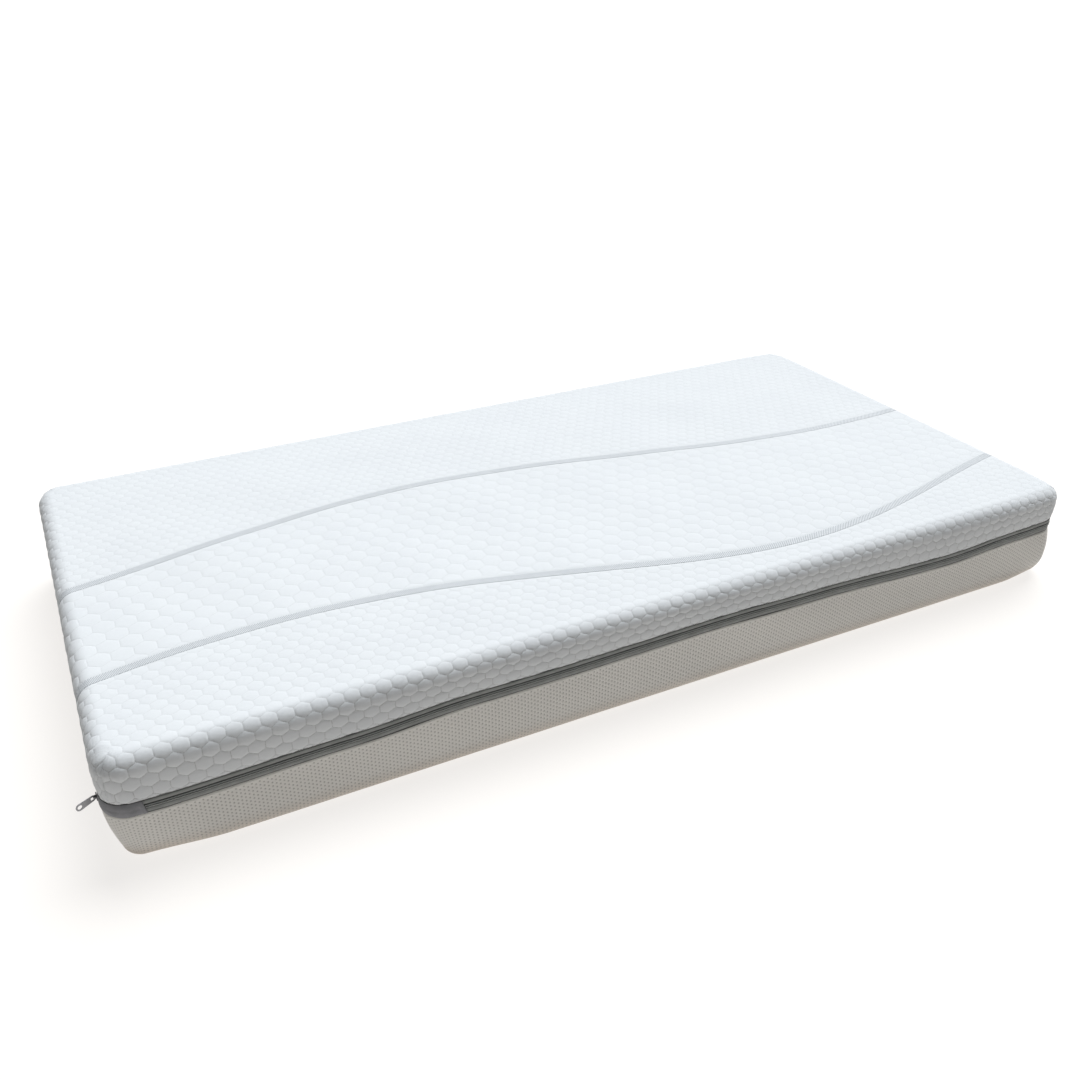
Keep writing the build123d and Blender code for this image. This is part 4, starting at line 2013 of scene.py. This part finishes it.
@dataclass(frozen=True)
class FoamCore:
    """The core inside the covers: base, side bolsters, support foam and two cut relief layers."""

    outline: Outline
    margin: float = 0.06
    relief_pitch: float = 0.084
    heel_pitch: float = 0.052
    base_foot: float = 0.021
    top_shoulder: float = 0.023

    def make(self) -> None:
        """Builds every slab of the core."""
        _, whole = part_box("base_foam")
        heel_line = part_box("heel_insert")[0].x
        reach_y = whole.y - self.margin
        relief = CutCells(-whole.x + self.margin, heel_line - self.margin / 2, reach_y, self.relief_pitch)
        heel = CutCells(heel_line + self.margin / 2, whole.x - self.margin, reach_y, self.heel_pitch)
        size = (self.outline, whole.x, whole.y)
        cut = {"shoulder": self.top_shoulder}
        grey = FoamFinish("base_foam_grey", colour(205, 210, 214), colour(186, 190, 194))
        blue = FoamFinish("bolster_foam_blue", colour(184, 199, 214), colour(166, 182, 198))
        cream = FoamFinish("support_foam_cream", colour(236, 233, 224), colour(222, 217, 202))
        ivory = FoamFinish("relief_foam_ivory", colour(240, 236, 220), colour(227, 220, 196))
        pale = FoamFinish("heel_foam_blue", colour(204, 222, 232), colour(186, 206, 218))
        slabs = (
            FoamBlock("base_foam_block", "base_foam", "firm_foam", grey, *size, foot=self.base_foot),
            FoamBlock("front_bolster_block", "front_bolster", "bolster_foam", blue, *size),
            FoamBlock("rear_bolster_block", "rear_bolster", "bolster_foam", blue, *size),
            FoamBlock("support_core_block", "support_core", "support_foam", cream, *size),
            FoamBlock("relief_layer", "pressure_layer", "relief_foam", ivory, *size, **cut, cells=relief),
            FoamBlock("heel_layer", "heel_insert", "heel_foam", pale, *size, **cut, cells=heel),
        )
        for slab in slabs:
            slab.make()


@dataclass(frozen=True)
class TopCover:
    """The zip-off top cover: three quilted panels, two wavy bands and the lining."""

    outline: Outline
    zip_line: ZipLine
    front_line: WaveLine = WaveLine(-0.328, 0.086, -0.651, 2.013, -0.005, 0.322)
    rear_line: WaveLine = WaveLine(0.047, 0.034, -0.218, 3.773, 0.053, 1.617)
    large_cell: tuple[float, float, float] = (0.0374, 0.0324, 0.0008)
    small_cell: tuple[float, float, float] = (0.0264, 0.0205, 0.0006)
    large_rings: tuple[float, ...] = (0.0, 0.27, 0.52, 0.73, 0.88, 0.96, 1.0)
    small_rings: tuple[float, ...] = (0.0, 0.4, 0.72, 0.93, 1.0)

    def make(self) -> None:
        """Builds the cover's pieces."""
        knit = KnitFinish().material()
        shared = (self.outline, self.zip_line)
        large = (*shared, *self.large_cell, self.large_rings)
        small = (*shared, *self.small_cell, self.small_rings)
        centre = QuiltPanel("quilt_centre", *large, self.front_line, self.rear_line, seed=3)
        centre.make(knit, ("cover_knit", "cover_wadding"))
        QuiltPanel("quilt_front", *small, None, self.front_line, seed=5).make(knit)
        QuiltPanel("quilt_rear", *small, self.rear_line, None, seed=7).make(knit)
        band = BandFinish().material()
        WaveBand("wave_band_front", *shared, self.front_line).make(band)
        WaveBand("wave_band_rear", *shared, self.rear_line).make(band)
        lining = WovenFinish("lining_cloth", colour(236, 236, 234), colour(222, 222, 220), 0.0007)
        CoverLining(*shared).make(lining.material())


@dataclass(frozen=True)
class LowerCover:
    """The lower cover: spacer mesh walls and the plain panel underneath."""

    outline: Outline
    zip_line: ZipLine

    def make(self) -> None:
        """Builds the cover's pieces."""
        SpacerSides(self.outline, self.zip_line).make(SpacerMeshFinish().material())
        cloth = WovenFinish("base_cloth_weave", colour(196, 194, 190), colour(176, 174, 170), 0.0014)
        UndersidePanel(*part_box("underside_panel")).make(cloth.material())


class Hardware:
    """The slider, its crown, the pull tab and the stops, which keep their own shapes."""

    def dress(self) -> None:
        """Gives each metal part its finish."""
        paint = MetalFinish("slider_black_paint", colour(34, 34, 36), colour(120, 120, 122), 0.36, 0.25)
        plated = MetalFinish("pull_plated_metal", colour(96, 96, 99), colour(160, 160, 163), 0.36, 0.7)
        stop = MetalFinish("stop_painted_metal", colour(52, 52, 52), colour(110, 110, 110), 0.4, 0.3)
        for finish, names in (
            (paint, ("zip_slider", "slider_crown")),
            (plated, ("pull_tab",)),
            (stop, ("upper_zip_stop", "lower_zip_stop")),
        ):
            material = finish.material()
            for name in names:
                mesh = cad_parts[name].data
                mesh.materials.clear()
                mesh.materials.append(material)
                log.info("%s: dressed with %s", name, material.name)


@dataclass(frozen=True)
class Studio:
    """A pale floor, soft overhead light and the camera."""

    eye: tuple[float, float, float] = (-0.93511, -1.74765, 1.20792)
    right: tuple[float, float, float] = (0.90079, -0.43420, -0.00556)
    up: tuple[float, float, float] = (0.22654, 0.45898, 0.85909)
    ahead: tuple[float, float, float] = (0.37046, 0.77513, -0.51181)
    lens: float = 34.18
    clip: tuple[float, float] = (0.01, 200.0)
    sensor: float = 36.0
    shift: tuple[float, float] = (0.0294, 0.0191)
    sky: Colour = (0.93, 0.97, 1.0, 1.0)
    sky_strength: float = 0.09
    sky_brightness: float = 0.97
    sun: tuple[float, float, float] = (0.94, 0.97, 1.0)
    sun_strength: float = 5.5
    sun_spread: float = math.radians(46)
    sun_heading: tuple[float, float, float] = (-0.50, -0.45, -1.0)
    glow: Colour = (0.80, 0.785, 0.77, 1.0)
    floor_reach: float = 40.0
    floor_drop: float = 0.0002

    def floor(self) -> None:
        """Lays a wide pale floor that glows a little, as one lit from below does."""
        half = self.floor_reach
        corners = [(-half, -half, 0), (half, -half, 0), (half, half, 0), (-half, half, 0)]
        mesh = bpy.data.meshes.new("floor")
        mesh.from_pydata(corners, [], [(0, 1, 2, 3)])
        floor = bpy.data.objects.new("floor", mesh)
        bpy.context.scene.collection.objects.link(floor)
        matt = Recipe("floor_paint", roughness=0.9)
        speckle = matt.mix(matt.noise(0.5), colour(124, 121, 117), colour(120, 117, 113))
        matt.shader.inputs["Emission Color"].default_value = self.glow
        matt.shader.inputs["Emission Strength"].default_value = 1.0
        mesh.materials.append(matt.paint(speckle))
        floor.location.z = -self.floor_drop

    def lights(self) -> None:
        """Sets the sky, dim as a light but pale to look at, and one wide soft light overhead."""
        world = bpy.data.worlds.new("studio")
        world.use_nodes = True
        back = world.node_tree.nodes["Background"]
        back.inputs["Color"].default_value = self.sky
        path = world.node_tree.nodes.new("ShaderNodeLightPath")
        strength = world.node_tree.nodes.new("ShaderNodeMapRange")
        strength.inputs["To Min"].default_value = self.sky_strength
        strength.inputs["To Max"].default_value = self.sky_brightness
        world.node_tree.links.new(path.outputs["Is Camera Ray"], strength.inputs["Value"])
        world.node_tree.links.new(strength.outputs["Result"], back.inputs["Strength"])
        bpy.context.scene.world = world
        lamp = bpy.data.lights.new("overhead", "SUN")
        lamp.energy = self.sun_strength
        lamp.angle = self.sun_spread
        lamp.color = self.sun
        overhead = bpy.data.objects.new("overhead", lamp)
        overhead.rotation_euler = Vector(self.sun_heading).to_track_quat("-Z", "Y").to_euler()
        bpy.context.scene.collection.objects.link(overhead)

    def camera(self) -> None:
        """Sets up the camera at the front corner of the zip end."""
        data = bpy.data.cameras.new("camera")
        data.lens = self.lens
        data.sensor_width = self.sensor
        data.shift_x, data.shift_y = self.shift
        data.clip_start, data.clip_end = self.clip
        camera = bpy.data.objects.new("camera", data)
        axes = Matrix((self.right, self.up, [-part for part in self.ahead])).transposed()
        camera.matrix_world = Matrix.Translation(self.eye) @ axes.to_4x4()
        bpy.context.scene.collection.objects.link(camera)
        bpy.context.scene.camera = camera
        bpy.context.scene.view_settings.view_transform = "Standard"

    def make(self) -> None:
        """Builds the studio."""
        self.floor()
        self.lights()
        self.camera()


def main() -> None:
    """Builds the mattress round the frame, part by part."""
    logging.basicConfig(level=logging.INFO, format="%(name)s: %(message)s")
    outline = Outline.from_frame()
    zip_line = ZipLine()
    Studio().make()
    FoamCore(outline).make()
    LowerCover(outline, zip_line).make()
    TopCover(outline, zip_line).make()
    ZipChain(outline, zip_line).make()
    Hardware().dress()


if __name__ == "__main__":
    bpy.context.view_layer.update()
    main()
